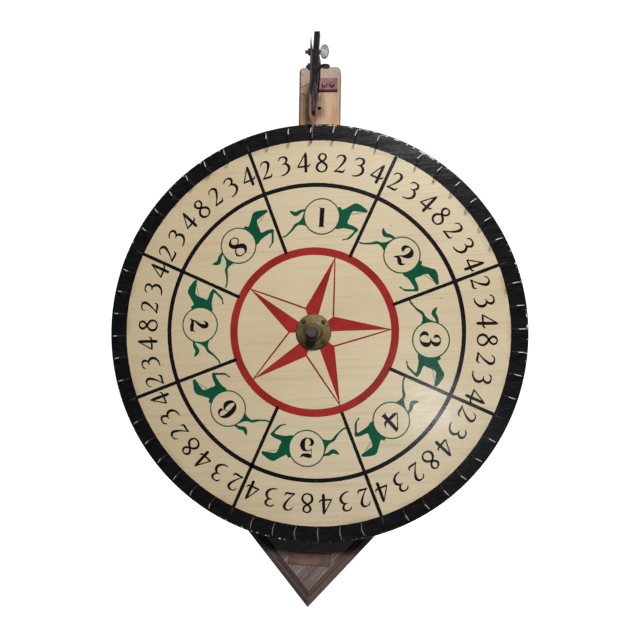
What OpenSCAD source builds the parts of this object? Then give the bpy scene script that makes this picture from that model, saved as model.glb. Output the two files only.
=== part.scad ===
// Carnival wheel: a wall-hung spinning dial with a leather clapper.
// Millimetres, +Z up, the dial faces -Y, and the wall is the plane Y = 0 behind the axle.

/* [Wheel] */
// Diameter of the dial
wheel_d = 610; // [450:1:760]
// Thickness of the dial board
wheel_t = 18; // [12:0.5:25]
// Width of the black rim band that carries the wire staples
band_w = 24.6; // [18:0.1:32]
// Fields on the dial, each with its own number
fields = 8; // [6:1:12]
// Number cells in one field
cells = 7; // [5:1:9]
// Turn of the dial at rest, clockwise as seen from the front
rest_turn = 1.35; // [-3:0.05:3]
// Clear space between the back panel and the dial
wheel_gap = 31; // [30.5:0.5:40]

/* [Staples] */
// Radius of the staple wire
wire_r = 0.95; // [0.7:0.05:1.5]
// Height of the staple over the dial
staple_h = 19; // [15:0.5:24]
// Radius of the bent crown of a staple
staple_bend = 3.2; // [2:0.1:4]
// Lean of the sloping leg of a staple, from square to the face
staple_lean = 36; // [26:1:38]
// Depth of the sloping leg's toe in the board
staple_toe = 2.4; // [1:0.1:3]
// Depth that each staple leg is driven into the board
staple_depth = 8; // [5:0.5:12]

/* [Hub] */
// Radius of the axle
axle_r = 8; // [6:0.1:10]
// Length of axle that stands out of the hub boss
axle_nose = 20; // [10:1:30]
// Radius of the turned nose of the axle
nose_r = 7.8; // [5:0.1:10]
// Radius of the brass hub flange
hub_r = 26; // [22:0.5:34]
// Radius of the spigot of the hub flange in the dial board
spigot_r = 12; // [10:0.5:14]
// Height of the hub boss over the dial
boss_h = 10; // [8:0.5:14]
// Radius of the rear hub plate
rear_r = 33; // [30:0.5:40]
// Thickness of the rear hub plate
rear_t = 6; // [4:0.5:8]

/* [Bearing] */
// Radius of the bearing plate
bearing_r = 42; // [38:0.5:46]
// Thickness of the bearing plate
bearing_t = 5; // [4:0.5:8]
// Radius of the bearing boss
bearing_boss_r = 20; // [17:0.5:22]
// Length of the bearing boss in front of its plate
bearing_boss_l = 16; // [12:0.5:20]
// Outer radius of the bronze bush
bush_r = 11; // [10:0.5:13]
// Running clearance of the axle in its bush
run_c = 0.05; // [0.02:0.01:0.1]

/* [Back] */
// Width of the pine upright
upright_w = 65; // [55:0.5:80]
// Thickness of the pine upright
upright_t = 19; // [15:0.5:25]
// Height of the top of the upright over the axle
upright_top = 417; // [400:1:450]
// Depth of the foot of the upright under the axle
upright_foot = 300; // [200:1:340]
// Radius of the rounded top corners of the upright
upright_round = 7; // [2:0.5:15]
// Depth of the lowest corner of the back panel under the axle
panel_drop = 418; // [390:1:440]
// Half of the angle at the lowest corner of the back panel
panel_half = 41; // [35:0.1:50]
// Height of the top corner of the back panel over the axle
panel_top = 105; // [95:1:150]
// Thickness of the back panel
panel_t = 12; // [8:0.5:16]
// Width of the frame moulding
mould_w = 15.5; // [10:0.5:22]
// Height of the frame moulding over the panel
mould_h = 7; // [4:0.5:10]
// Width of the label plate on the panel
label_w = 64; // [40:1:70]
// Height of the label plate
label_h = 19; // [14:0.5:24]
// Height of the middle of the label plate over the lowest corner of the panel
label_up = 72; // [60:1:90]
// Radius of the wall screw holes
wall_hole_r = 2.6; // [2.2:0.1:5]
// Height of the upper wall screw hole over the axle
wall_hole_top = 352; // [330:1:365]
// Distance from the foot of the upright to the lower wall screw hole
wall_hole_foot = 15; // [10:1:30]

/* [Clapper] */
// Distance from the dial face to the middle of the clapper
clap_out = 12; // [10:0.5:16]
// Height of the pivot screw over the axle
pivot_z = 384.5; // [380:0.5:390]
// Height of the clamp screw over the axle
clamp_z = 406.1; // [403:0.1:412]
// Width of the clapper bar across the face
bar_w = 7.7; // [7:0.1:9]
// Depth of the clapper bar, front to back
bar_d = 12; // [10:0.5:14]
// Width of the thinner blade at the lower end of the bar
blade_w = 5.4; // [4:0.1:6.5]
// Depth of the blade, front to back
blade_d = 5; // [4:0.1:6]
// Height of the upper end of the blade
blade_top = 352; // [345:1:356]
// Height of the top of the clapper bar
bar_top = 434.5; // [425:0.5:445]
// Height of the lower end of the clapper bar
bar_low = 317; // [312:1:325]
// Thickness of the leather tongue
leather_t = 4; // [3:0.5:5]
// Width of the leather tongue, front to back
leather_d = 15; // [12:0.5:16]
// Height of the upper point of the leather
leather_top = 426.5; // [418:0.5:430]
// Height of the tip of the leather
leather_tip = 281; // [276:1:290]
// Radius of the thumb screw shanks
thumb_r = 2.5; // [2:0.1:3]
// Thickness of the angle bracket
bracket_t = 2; // [1.5:0.5:3]
// Height of the angle bracket strap
bracket_h = 21; // [18:0.5:26]
// Length of the angle bracket along the upright
bracket_l = 31.4; // [28:0.1:36]

/* [Hidden] */
$fn = 64;
// Clearance of a screw in its pilot hole
pilot_c = 0.02;
// Clearance of the hub spigot in the dial board
spigot_c = 0.05;
wheel_r = wheel_d / 2;
band_r = wheel_r - band_w;
upright_y = -upright_t;
// Middle of the upright beside the axle, and the turn of the panel behind the dial
upright_x = -2;
panel_turn = 0.95;
// Uneven spacing of the staples, laid out by hand: the turn that it reaches, and where on the dial
hand_turn = 0.4;
hand_at = 30;
wall_hole_low_z = wall_hole_foot - upright_foot;
panel_y = upright_y - panel_t;
back_y = panel_y - wheel_gap;
face_y = back_y - wheel_t;
boss_y = face_y - boss_h;
axle_rear_y = upright_y - 1.5;
axle_front_y = boss_y - axle_nose;
axle_l = axle_rear_y - axle_front_y;
// Chamfer of the axle's nose
nose_e = 1.2;
bearing_y = panel_y - bearing_t - bearing_boss_l;
bush_flange_t = 2;
washer_y = bearing_y - bush_flange_t;
// End play of the axle between its thrust washer and its collar
play = 0.3;
washer_t = washer_y - play - back_y - rear_t;
label_t = 0.8;
pocket_r = 19;
collar_r = 15;
collar_w = 9;
// The panel outline, from its lowest corner, clockwise as seen from the back
panel_rise = (panel_drop + panel_top) / 2;
panel_mid_z = panel_rise - panel_drop;
panel_half_w = panel_rise * tan(panel_half);
corner_low = [0, -panel_drop];
corner_right = [panel_half_w, panel_mid_z];
corner_top = [0, panel_mid_z + panel_rise];
corner_left = [-panel_half_w, panel_mid_z];
panel_inset_z = mould_w / sin(panel_half);
panel_inset_x = mould_w / cos(panel_half);
cell_a = 360 / fields / cells;
clap_y = face_y - clap_out;
// Round-head wood screws: shank radius, head radius, head height
small_s = 1.9;
small_hr = 3.3;
small_hh = 1.8;
wood_s = 2.2;
wood_hr = 4.6;
wood_hh = 2.9;
// Bite of the screws in the wood behind the piece that they hold, and the spare depth of a pilot hole
upright_bite = 14;
panel_bite = 10.5;
board_bite = 12;
spare = 1;
// Radii of the set screws in the hub boss and in the collar
hub_set_r = 1.5;
collar_set_r = 2.5;
// Rise of the hub flange at the root of its boss and at its screw seats, and the room round a screw head
hub_dish = 4.6;
hub_seat = 3.4;
seat_room = 0.3;
hub_screw_r = 20.4;
hub_set_y = boss_y + 2.4;
rear_screw_r = 25;
bearing_screw_r = 32;
// Panel screws: their distance from the edge and foot of the upright, and of the upper pair from the axle
panel_screw_edge = 12.5;
panel_screw_foot = 70;
panel_screw_top = 95;
panel_screw_x = upright_w / 2 - panel_screw_edge;
panel_screw_at = [
  for (z = [-panel_screw_top, panel_screw_foot - upright_foot])
    for (x = [upright_x - panel_screw_x, upright_x + panel_screw_x])
      [x, z]
];
// Left and right sides of the clapper bar, and the lean of its top end to the right above the pivot
bar_left = -5.8;
bar_right = bar_left + bar_w;
bar_lean = 1.9;
bar_bend_z = pivot_z + 19;
// Length of the shoulders between the bar and its blade
blade_taper = 8;
// Angle bracket: left end of its plate behind the bar, left side of its arm beside the bar, front end of the
// arm, and the length of arm that runs straight beside the bar
bracket_end = -5.2;
bracket_x = bar_right + 0.1;
bracket_z = pivot_z - bracket_h * 0.31;
bracket_front_y = clap_y - thumb_r - 5.5;
bracket_straight = 24;
bracket_screw_z = bracket_z + bracket_h / 2;
bracket_screw_at = [
  [bracket_end + 10.5, bracket_screw_z],
  [bracket_end + bracket_l - 8.4, bracket_screw_z]
];
hole_c = 0.08;
nut_t = 3.2;
nut_w = 7.2;
// Thumb screw: collar and neck lengths, the neck's end, and a spade head of two rounds set apart. The heads
// pass each other and the bracket's arm with a clearance
thumb_collar = 1.5;
thumb_neck = 2;
neck_r = 2.2;
spade_c = 0.3;
spade_r = 6.5;
spade_apart = (clamp_z - pivot_z) / 2 - spade_r - spade_c;
spade_t = 3;
spade_x = spade_r + spade_c;
// Turn of the pivot screw's head at rest
pivot_turn = 102;
// Clearance of the leather beside the bar
leather_c = 0.1;
leather_x = bar_left - leather_c - leather_t / 2;
// Clearance under the thumb screw collars and the nuts
seat_c = 0.1;
nut_x = leather_x - leather_t / 2 - nut_t - seat_c;
// Ends of the thumb screws past the left sides of their nuts, and their collars
clamp_tail = 4.4;
pivot_tail = 2.7;
clamp_collar_r = thumb_r + 1.5;
pivot_collar_r = thumb_r + 1.9;
// Right side of the leaning bar at the upper edge of the clamp screw's collar
clamp_seat_x = bar_right + bar_lean * (clamp_z + clamp_collar_r - bar_bend_z) / (bar_top - bar_bend_z);

// A place on the dial plane: local Z runs back into the wood
module into_wall(x, y, z) {
  translate([x, y, z])
    rotate([-90, 0, 0])
      children();
}

// A slotted round-head screw along local Z, its head on the -Z side
module round_screw(s, hr, hh, l, turn) {
  difference() {
    union() {
      cylinder(r = s, h = l);
      rotate_extrude()
        polygon([[0, 0], [hr, 0], [hr * 0.96, -hh * 0.4], [hr * 0.78, -hh * 0.8], [hr * 0.4, -hh], [0, -hh]]);
    }
    rotate([0, 0, turn])
      translate([-hr, -hr * 0.13, -hh - 1])
        cube([2 * hr, hr * 0.26, 1 + hh * 0.5]);
  }
}

// Four places on a circle, the first at an angle
module on_circle(r, n, first) {
  for (i = [0 : n - 1])
    translate([r * cos(first + i * 360 / n), r * sin(first + i * 360 / n), 0])
      children();
}

module upright() {
  color([0.80, 0.63, 0.42])
    difference() {
      union() {
        translate([upright_x - upright_w / 2, upright_y, -upright_foot])
          cube([upright_w, upright_t, upright_foot + upright_top - upright_round]);
        translate([upright_x - upright_w / 2 + upright_round, upright_y, upright_top - upright_round - 1])
          cube([upright_w - 2 * upright_round, upright_t, upright_round + 1]);
        for (s = [-1, 1])
          into_wall(upright_x + s * (upright_w / 2 - upright_round), upright_y, upright_top - upright_round)
            cylinder(r = upright_round, h = upright_t);
      }
      for (z = [wall_hole_top, wall_hole_low_z])
        into_wall(upright_x, upright_y - 1, z)
          cylinder(r = wall_hole_r, h = upright_t + 2);
      for (p = panel_screw_at)
        into_wall(p[0], upright_y - 1, p[1])
          cylinder(r = wood_s + pilot_c, h = 1 + upright_bite + spare);
      for (p = bracket_screw_at)
        into_wall(p[0], upright_y - 1, p[1])
          cylinder(r = wood_s + pilot_c, h = 1 + upright_bite + spare);
    }
}

module back_panel() {
  color([0.25, 0.14, 0.08])
    difference() {
      into_wall(0, panel_y, 0)
        rotate([0, 0, panel_turn])
          linear_extrude(height = panel_t)
            polygon([
              [corner_low[0], -corner_low[1] - panel_inset_z],
              [corner_right[0] - panel_inset_x, -corner_right[1]],
              [corner_top[0], -corner_top[1] + panel_inset_z],
              [corner_left[0] + panel_inset_x, -corner_left[1]]
            ]);
      into_wall(0, panel_y - 1, 0)
        cylinder(r = pocket_r, h = panel_t + 2);
      into_wall(upright_x, panel_y - 1, wall_hole_low_z)
        cylinder(r = wall_hole_r, h = panel_t + 2);
      for (p = panel_screw_at)
        into_wall(p[0], panel_y - 1, p[1])
          cylinder(r = wood_s + pilot_c, h = panel_t + 2);
      into_wall(0, panel_y - 1, 0)
        on_circle(bearing_screw_r, 4, 45)
          cylinder(r = wood_s + pilot_c, h = panel_t + 2);
    }
}

// One moulding strip from corner p to corner q, the panel on its left, mitred at half-angles a and b
module moulding(p, q, a, b) {
  l = norm(q - p);
  t = panel_t + mould_h;
  big = 6 * mould_w;
  color([0.20, 0.11, 0.06])
    rotate([0, panel_turn, 0])
      translate([p[0], upright_y, p[1]])
        rotate([0, -atan2(q[1] - p[1], q[0] - p[0]), 0])
          difference() {
            rotate([90, 0, 90])
              linear_extrude(height = l)
                polygon([
                  [0, 0], [-t * 0.72, 0], [-t * 0.9, mould_w * 0.06], [-t, mould_w * 0.2],
                  [-t, mould_w * 0.52], [-t * 0.94, mould_w * 0.66], [-t * 0.82, mould_w * 0.72],
                  [-t * 0.82, mould_w * 0.84], [-panel_t, mould_w], [0, mould_w]
                ]);
            rotate([0, -a, 0])
              translate([-big, -t - 1, 0])
                cube([3 * big, t + 2, big]);
            translate([l, 0, 0])
              rotate([0, b, 0])
                translate([-2 * big, -t - 1, 0])
                  cube([3 * big, t + 2, big]);
          }
}

module moulding_low_right() {
  moulding(corner_low, corner_right, panel_half, 90 - panel_half);
}

module moulding_top_right() {
  moulding(corner_right, corner_top, 90 - panel_half, panel_half);
}

module moulding_top_left() {
  moulding(corner_top, corner_left, panel_half, 90 - panel_half);
}

module moulding_low_left() {
  moulding(corner_left, corner_low, 90 - panel_half, panel_half);
}

module panel_screws() {
  color([0.45, 0.42, 0.38])
    for (p = panel_screw_at)
      into_wall(p[0], panel_y, p[1])
        round_screw(wood_s, wood_hr, wood_hh, panel_t + upright_bite, p[0] * 2);
}

module label_plate() {
  color([0.34, 0.20, 0.13])
    rotate([0, panel_turn, 0])
      translate([-label_w / 2, panel_y - label_t, label_up - panel_drop - label_h / 2])
        cube([label_w, label_t, label_h]);
}

module bearing_flange() {
  color([0.16, 0.16, 0.17])
    difference() {
      union() {
        into_wall(0, panel_y - bearing_t, 0)
          cylinder(r = bearing_r, h = bearing_t);
        into_wall(0, bearing_y, 0)
          cylinder(r = bearing_boss_r, h = bearing_boss_l + 1);
      }
      into_wall(0, bearing_y - 1, 0)
        cylinder(r = bush_r, h = bearing_boss_l + bearing_t + 2);
      into_wall(0, panel_y - bearing_t - 1, 0)
        on_circle(bearing_screw_r, 4, 45)
          cylinder(r = wood_s + pilot_c, h = bearing_t + 2);
    }
}

module bearing_bush() {
  color([0.60, 0.42, 0.22])
    difference() {
      union() {
        into_wall(0, bearing_y, 0)
          cylinder(r = bush_r, h = bearing_boss_l + bearing_t);
        into_wall(0, bearing_y - bush_flange_t, 0)
          cylinder(r = bush_r + 5, h = bush_flange_t);
      }
      into_wall(0, bearing_y - bush_flange_t - 1, 0)
        cylinder(r = axle_r + run_c, h = bearing_boss_l + bearing_t + bush_flange_t + 2);
    }
}

module bearing_screws() {
  color([0.45, 0.42, 0.38])
    into_wall(0, panel_y - bearing_t, 0)
      on_circle(bearing_screw_r, 4, 45)
        round_screw(wood_s, wood_hr, wood_hh, bearing_t + panel_bite, 20);
}

module thrust_washer() {
  color([0.60, 0.42, 0.22])
    difference() {
      into_wall(0, washer_y - washer_t, 0)
        cylinder(r = bush_r + 5, h = washer_t);
      into_wall(0, washer_y - washer_t - 1, 0)
        cylinder(r = axle_r + run_c, h = washer_t + 2);
    }
}

module angle_bracket() {
  color([0.45, 0.09, 0.08])
    difference() {
      translate([0, 0, bracket_z])
        linear_extrude(height = bracket_h)
          polygon([
            [bracket_end + bracket_l, upright_y],
            [bracket_end, upright_y],
            [bracket_x, bracket_front_y + bracket_straight],
            [bracket_x, bracket_front_y],
            [bracket_x + bracket_t, bracket_front_y],
            [bracket_x + bracket_t, bracket_front_y + bracket_straight],
            [bracket_end + bracket_t * 1.15, upright_y - bracket_t],
            [bracket_end + bracket_l, upright_y - bracket_t]
          ]);
      translate([bracket_x - 1, clap_y, pivot_z])
        rotate([0, 90, 0])
          cylinder(r = thumb_r + hole_c, h = bracket_t + 2);
      for (p = bracket_screw_at)
        into_wall(p[0], upright_y - bracket_t - 1, p[1])
          cylinder(r = wood_s + pilot_c, h = bracket_t + 2);
    }
}

module bracket_screws() {
  color([0.55, 0.52, 0.48])
    for (p = bracket_screw_at)
      into_wall(p[0], upright_y - bracket_t, p[1])
        round_screw(wood_s, wood_hr, wood_hh, bracket_t + upright_bite, 75 - 2.4 * p[0]);
}

module wheel_disc() {
  e = 1.2;
  color([0.86, 0.80, 0.68])
    difference() {
      into_wall(0, face_y, 0)
        rotate_extrude($fn = 180)
          polygon([
            [spigot_r + spigot_c, 0], [wheel_r - e, 0], [wheel_r - e * 0.3, e * 0.3], [wheel_r, e],
            [wheel_r, wheel_t - e], [wheel_r - e * 0.3, wheel_t - e * 0.3], [wheel_r - e, wheel_t],
            [spigot_r + spigot_c, wheel_t]
          ]);
      into_wall(0, face_y - 1, 0)
        on_circle(hub_screw_r, 4, 45)
          cylinder(r = small_s + pilot_c, h = 1 + board_bite + spare);
      into_wall(0, back_y - board_bite - spare, 0)
        on_circle(rear_screw_r, 4, 0)
          cylinder(r = small_s + pilot_c, h = 1 + board_bite + spare);
    }
}

// One bent wire: a leg driven in square to the face, a round crown, and a sloping leg to the rim.
// Local X runs outward along the dial, local Y out of the face. Each ring has a point and a facing.
module staple() {
  rise = staple_h - staple_bend;
  arc = [for (i = [0 : 4]) 180 - i * (180 - staple_lean) / 4];
  last = [staple_bend * (1 + cos(staple_lean)), rise + staple_bend * sin(staple_lean)];
  drop = last[1] + staple_toe;
  rings = concat(
    [[0, -staple_depth, 180]],
    [for (a = arc) [staple_bend * (1 + cos(a)), rise + staple_bend * sin(a), a]],
    [[last[0] + drop * tan(staple_lean), -staple_toe, staple_lean]]
  );
  n = len(rings);
  pts = [
    for (q = rings)
      for (i = [0 : 5])
        [
          q[0] + wire_r * cos(60 * i) * cos(q[2]),
          q[1] + wire_r * cos(60 * i) * sin(q[2]),
          wire_r * sin(60 * i)
        ]
  ];
  sides = [
    for (k = [0 : n - 2])
      for (i = [0 : 5])
        for (f = [[6 * k + i, 6 * k + 6 + i, 6 * k + (i + 1) % 6],
                  [6 * k + (i + 1) % 6, 6 * k + 6 + i, 6 * k + 6 + (i + 1) % 6]])
          f
  ];
  polyhedron(points = pts, faces = concat(
    [[0, 1, 2, 3, 4, 5]], sides, [[for (i = [5 : -1 : 0]) 6 * (n - 1) + i]]));
}

// Angle of a staple on the dial, clockwise from the top
function staple_a(f, c) = rest_turn - 180 / fields + f * 360 / fields + c * cell_a;

module rim_staples() {
  color([0.72, 0.70, 0.66])
    for (f = [0 : fields - 1])
      for (c = [1 : cells - 1])
        rotate([0, staple_a(f, c) + hand_turn * cos(staple_a(f, c) - hand_at), 0])
          translate([0, face_y, band_r + 2.2])
            rotate([0, -90, 0])
              rotate([180, 0, 0])
                staple();
}

module front_hub_flange() {
  color([0.55, 0.43, 0.18])
    difference() {
      into_wall(0, face_y, 0)
        rotate_extrude()
          polygon([
            [axle_r + pilot_c, wheel_t - 0.5], [spigot_r, wheel_t - 0.5], [spigot_r, 0], [hub_r, 0],
            [hub_r, -2.2], [hub_r - 1.2, -3.4], [spigot_r + 3.2, -hub_dish], [spigot_r + 0.6, -6],
            [spigot_r - 0.4, -boss_h + 1], [spigot_r - 1.4, -boss_h], [axle_r + pilot_c, -boss_h]
          ]);
      into_wall(0, boss_y, 0)
        on_circle(hub_screw_r, 4, 45)
          cylinder(r = small_s + pilot_c, h = boss_h + 1);
      into_wall(0, boss_y, 0)
        on_circle(hub_screw_r, 4, 45)
          cylinder(r = small_hr + seat_room, h = boss_h - hub_seat);
      translate([0, hub_set_y, 0])
        cylinder(r = hub_set_r + pilot_c, h = spigot_r + 2);
    }
}

module front_hub_screws() {
  color([0.40, 0.34, 0.20])
    into_wall(0, face_y - hub_seat, 0)
      on_circle(hub_screw_r, 4, 45)
        round_screw(small_s, small_hr, small_hh, hub_seat + board_bite, 35);
}

module hub_set_screw() {
  color([0.30, 0.30, 0.32])
    translate([0, hub_set_y, axle_r + pilot_c])
      difference() {
        cylinder(r = hub_set_r, h = spigot_r - axle_r - 0.6);
        translate([-2, -0.25, spigot_r - axle_r - 1.6])
          cube([4, 0.5, 2]);
      }
}

module rear_hub_plate() {
  color([0.30, 0.30, 0.32])
    difference() {
      into_wall(0, back_y, 0)
        cylinder(r = rear_r, h = rear_t);
      into_wall(0, back_y - 1, 0)
        cylinder(r = axle_r + pilot_c, h = rear_t + 2);
      into_wall(0, back_y - 1, 0)
        on_circle(rear_screw_r, 4, 0)
          cylinder(r = small_s + pilot_c, h = rear_t + 2);
    }
}

module rear_hub_screws() {
  color([0.45, 0.42, 0.38])
    translate([0, back_y + rear_t, 0])
      rotate([90, 0, 0])
        on_circle(rear_screw_r, 4, 0)
          round_screw(small_s, small_hr, small_hh, rear_t + board_bite, 35);
}

module axle() {
  color([0.33, 0.33, 0.35])
    into_wall(0, axle_front_y, 0)
      rotate_extrude()
        polygon([
          [0, 0], [nose_r - nose_e, 0], [nose_r, nose_e], [nose_r, axle_nose], [axle_r, axle_nose],
          [axle_r, axle_l - 1], [axle_r - 1, axle_l], [0, axle_l]
        ]);
}

module shaft_collar() {
  color([0.45, 0.45, 0.47])
    difference() {
      into_wall(0, panel_y + play, 0)
        cylinder(r = collar_r, h = collar_w);
      into_wall(0, panel_y - 1, 0)
        cylinder(r = axle_r + pilot_c, h = collar_w + 4);
      translate([0, panel_y + play + collar_w / 2, 0])
        cylinder(r = collar_set_r + pilot_c, h = collar_r + 2);
    }
}

module collar_set_screw() {
  color([0.30, 0.30, 0.32])
    translate([0, panel_y + play + collar_w / 2, axle_r + pilot_c])
      difference() {
        cylinder(r = collar_set_r, h = collar_r - axle_r - 0.8);
        translate([-3, -0.4, collar_r - axle_r - 2.2])
          cube([6, 0.8, 3]);
      }
}

// The bar seen from the front, its lower end a thinner blade in front of the leather
module clapper_bar() {
  e = 1.2;
  front_y = clap_y - bar_d / 2;
  rear_y = clap_y + bar_d / 2;
  cut_z = blade_top + blade_taper;
  color([0.14, 0.13, 0.14])
    difference() {
      into_wall(0, front_y, 0)
        linear_extrude(height = bar_d)
          polygon([
            [bar_left, -bar_low],
            [bar_left + blade_w, -bar_low],
            [bar_left + blade_w, -blade_top],
            [bar_right, -cut_z],
            [bar_right, -bar_bend_z],
            [bar_right + bar_lean, -bar_top],
            [bar_left + bar_lean, -bar_top],
            [bar_left, -bar_bend_z]
          ]);
      translate([bar_left - 1, 0, 0])
        rotate([90, 0, 90])
          linear_extrude(height = bar_w + 4)
            polygon([
              [front_y + blade_d, bar_low - 1],
              [rear_y + 1, bar_low - 1],
              [rear_y + 1, cut_z + blade_taper + 1],
              [rear_y, cut_z + blade_taper],
              [front_y + blade_d, cut_z]
            ]);
      for (z = [pivot_z, clamp_z])
        translate([bar_left - 1, clap_y, z])
          rotate([0, 90, 0])
            cylinder(r = thumb_r + hole_c, h = bar_w + bar_lean + 2);
      for (y = [front_y, rear_y])
        translate([bar_left - 1, y, bar_top])
          rotate([45, 0, 0])
            translate([0, -e * 1.5, -e * 1.5])
              cube([bar_w + bar_lean + 2, e * 3, e * 3]);
    }
}

// A square nut on the left of the leather
module square_nut(z) {
  difference() {
    translate([nut_x, clap_y - nut_w / 2, z - nut_w / 2])
      cube([nut_t, nut_w, nut_w]);
    translate([nut_x - 1, clap_y, z])
      rotate([0, 90, 0])
        cylinder(r = thumb_r + hole_c, h = nut_t + 2);
  }
}

module clamp_nut() {
  color([0.40, 0.39, 0.38])
    square_nut(clamp_z);
}

module pivot_nut() {
  color([0.20, 0.19, 0.19])
    square_nut(pivot_z);
}

// The leather strip as sections from its upper point to its tip: height, middle, half thickness,
// half width, the twist that it has taken, and its way back behind the blade
module leather_tongue() {
  h = leather_t / 2;
  w = leather_d / 2;
  twist_z = blade_top + blade_taper + 1;
  s = [
    [leather_top, leather_x - 1.5, h * 0.2, w * 0.22, 0, 0],
    [leather_top - 9, leather_x - 0.9, h * 0.5, w * 0.75, 0, 0],
    [leather_top - 17, leather_x - 0.15, h * 0.9, w, 0, 0],
    [clamp_z + 2, leather_x, h, w, 0, 0],
    [twist_z, leather_x, h, w, 0, 0],
    [twist_z - 9, leather_x + 0.3, h, w, 12, 1.4],
    [twist_z - 19, leather_x + 1.3, h, w, 28, 3.4],
    [twist_z - 30, leather_x + 2.4, h, w, 42, 4.7],
    [bar_low + 4, leather_x + 2.9, h, w, 50, 5],
    [bar_low - 2.5, leather_x + 2.9, h, w * 0.93, 50, 5],
    [bar_low - 11, leather_x + 2.7, h * 0.85, w * 0.57, 50, 4.4],
    [bar_low - 15, leather_x + 2.9, h * 0.7, w * 0.37, 50, 4],
    [bar_low - 19.4, leather_x + 3.2, h * 0.55, w * 0.21, 50, 3.8],
    [bar_low - 24, leather_x + 2.7, h * 0.38, w * 0.14, 50, 3.8],
    [leather_tip, leather_x + 2.3, h * 0.2, w * 0.055, 50, 3.8]
  ];
  n = len(s);
  function corner(k, a, b) = [
    s[k][1] + a * s[k][2] * cos(s[k][4]) + b * s[k][3] * sin(s[k][4]),
    clap_y + s[k][5] - a * s[k][2] * sin(s[k][4]) + b * s[k][3] * cos(s[k][4]),
    s[k][0]
  ];
  pts = [
    for (k = [0 : n - 1])
      for (c = [[-1, -0.8], [-0.6, -1], [0.6, -1], [1, -0.8], [1, 0.8], [0.6, 1], [-0.6, 1], [-1, 0.8]])
        corner(k, c[0], c[1])
  ];
  sides = [
    for (k = [0 : n - 2])
      for (i = [0 : 7])
        for (f = [[8 * k + i, 8 * k + (i + 1) % 8, 8 * k + 8 + i],
                  [8 * k + (i + 1) % 8, 8 * k + 8 + (i + 1) % 8, 8 * k + 8 + i]])
          f
  ];
  color([0.33, 0.13, 0.09])
    difference() {
      polyhedron(points = pts, faces = concat(
        [[7, 6, 5, 4, 3, 2, 1, 0]], sides, [[for (i = [0 : 7]) 8 * (n - 1) + i]]));
      for (z = [pivot_z, clamp_z])
        translate([leather_x - leather_t, clap_y, z])
          rotate([0, 90, 0])
            cylinder(r = thumb_r + 0.4, h = 2 * leather_t);
    }
}

// A thumb screw along X: shank to the left, a collar, a neck, and a flat spade head
module thumb_screw(z, shank_l, collar_x, collar_r2, turn) {
  x = collar_x + thumb_collar;
  translate([0, clap_y, z])
    rotate([turn, 0, 0]) {
      translate([-shank_l, 0, 0])
        rotate([0, 90, 0])
          cylinder(r = thumb_r, h = shank_l + x);
      translate([collar_x, 0, 0])
        rotate([0, 90, 0])
          cylinder(r = collar_r2, h = thumb_collar);
      translate([x, 0, 0])
        rotate([0, 90, 0])
          cylinder(r1 = collar_r2, r2 = neck_r, h = thumb_neck);
      for (s = [-1, 1])
        translate([x + spade_x, spade_t / 2, s * spade_apart])
          rotate([90, 0, 0])
            cylinder(r = spade_r, h = spade_t);
      translate([x + spade_x - spade_r, -spade_t / 2, -spade_apart])
        cube([2 * spade_r, spade_t, 2 * spade_apart]);
    }
}

module clamp_thumb_screw() {
  color([0.66, 0.65, 0.62])
    thumb_screw(clamp_z, clamp_tail - nut_x, clamp_seat_x + seat_c, clamp_collar_r, 0);
}

module pivot_thumb_screw() {
  color([0.22, 0.20, 0.19])
    thumb_screw(pivot_z, pivot_tail - nut_x, bracket_x + bracket_t + seat_c, pivot_collar_r, pivot_turn);
}

upright();
back_panel();
moulding_low_right();
moulding_low_left();
moulding_top_right();
moulding_top_left();
panel_screws();
label_plate();
bearing_flange();
bearing_bush();
bearing_screws();
thrust_washer();
angle_bracket();
bracket_screws();
wheel_disc();
rim_staples();
front_hub_flange();
front_hub_screws();
hub_set_screw();
rear_hub_plate();
rear_hub_screws();
axle();
shaft_collar();
collar_set_screw();
clapper_bar();
clamp_nut();
pivot_nut();
leather_tongue();
clamp_thumb_screw();
pivot_thumb_screw();
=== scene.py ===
"""Carnival wheel: the painted dial, wire staples, leather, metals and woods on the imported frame."""

import math
import random

import bmesh
import bpy
from bpy.props import FloatProperty, FloatVectorProperty, IntProperty, PointerProperty
from bpy.types import Operator, Panel, PropertyGroup
from mathutils import Matrix, Vector


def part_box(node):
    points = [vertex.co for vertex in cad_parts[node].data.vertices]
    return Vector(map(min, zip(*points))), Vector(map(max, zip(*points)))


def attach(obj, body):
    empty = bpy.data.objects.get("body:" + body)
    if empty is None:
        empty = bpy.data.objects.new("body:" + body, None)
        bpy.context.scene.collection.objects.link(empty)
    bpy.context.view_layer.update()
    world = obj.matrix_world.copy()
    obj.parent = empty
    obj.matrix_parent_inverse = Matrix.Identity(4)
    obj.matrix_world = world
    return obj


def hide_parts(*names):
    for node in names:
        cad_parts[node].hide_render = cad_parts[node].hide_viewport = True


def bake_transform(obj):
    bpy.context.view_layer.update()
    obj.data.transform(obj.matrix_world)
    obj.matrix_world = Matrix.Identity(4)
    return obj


bl_info = {
    "name": "Carnival Wheel",
    "version": (1, 0, 0),
    "blender": (4, 5, 0),
    "location": "3D View > Sidebar > Wheel",
    "description": "Dresses the frame of a carnival wheel: painted dial, staples, clapper, metals and woods",
    "category": "Object",
}

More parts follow.
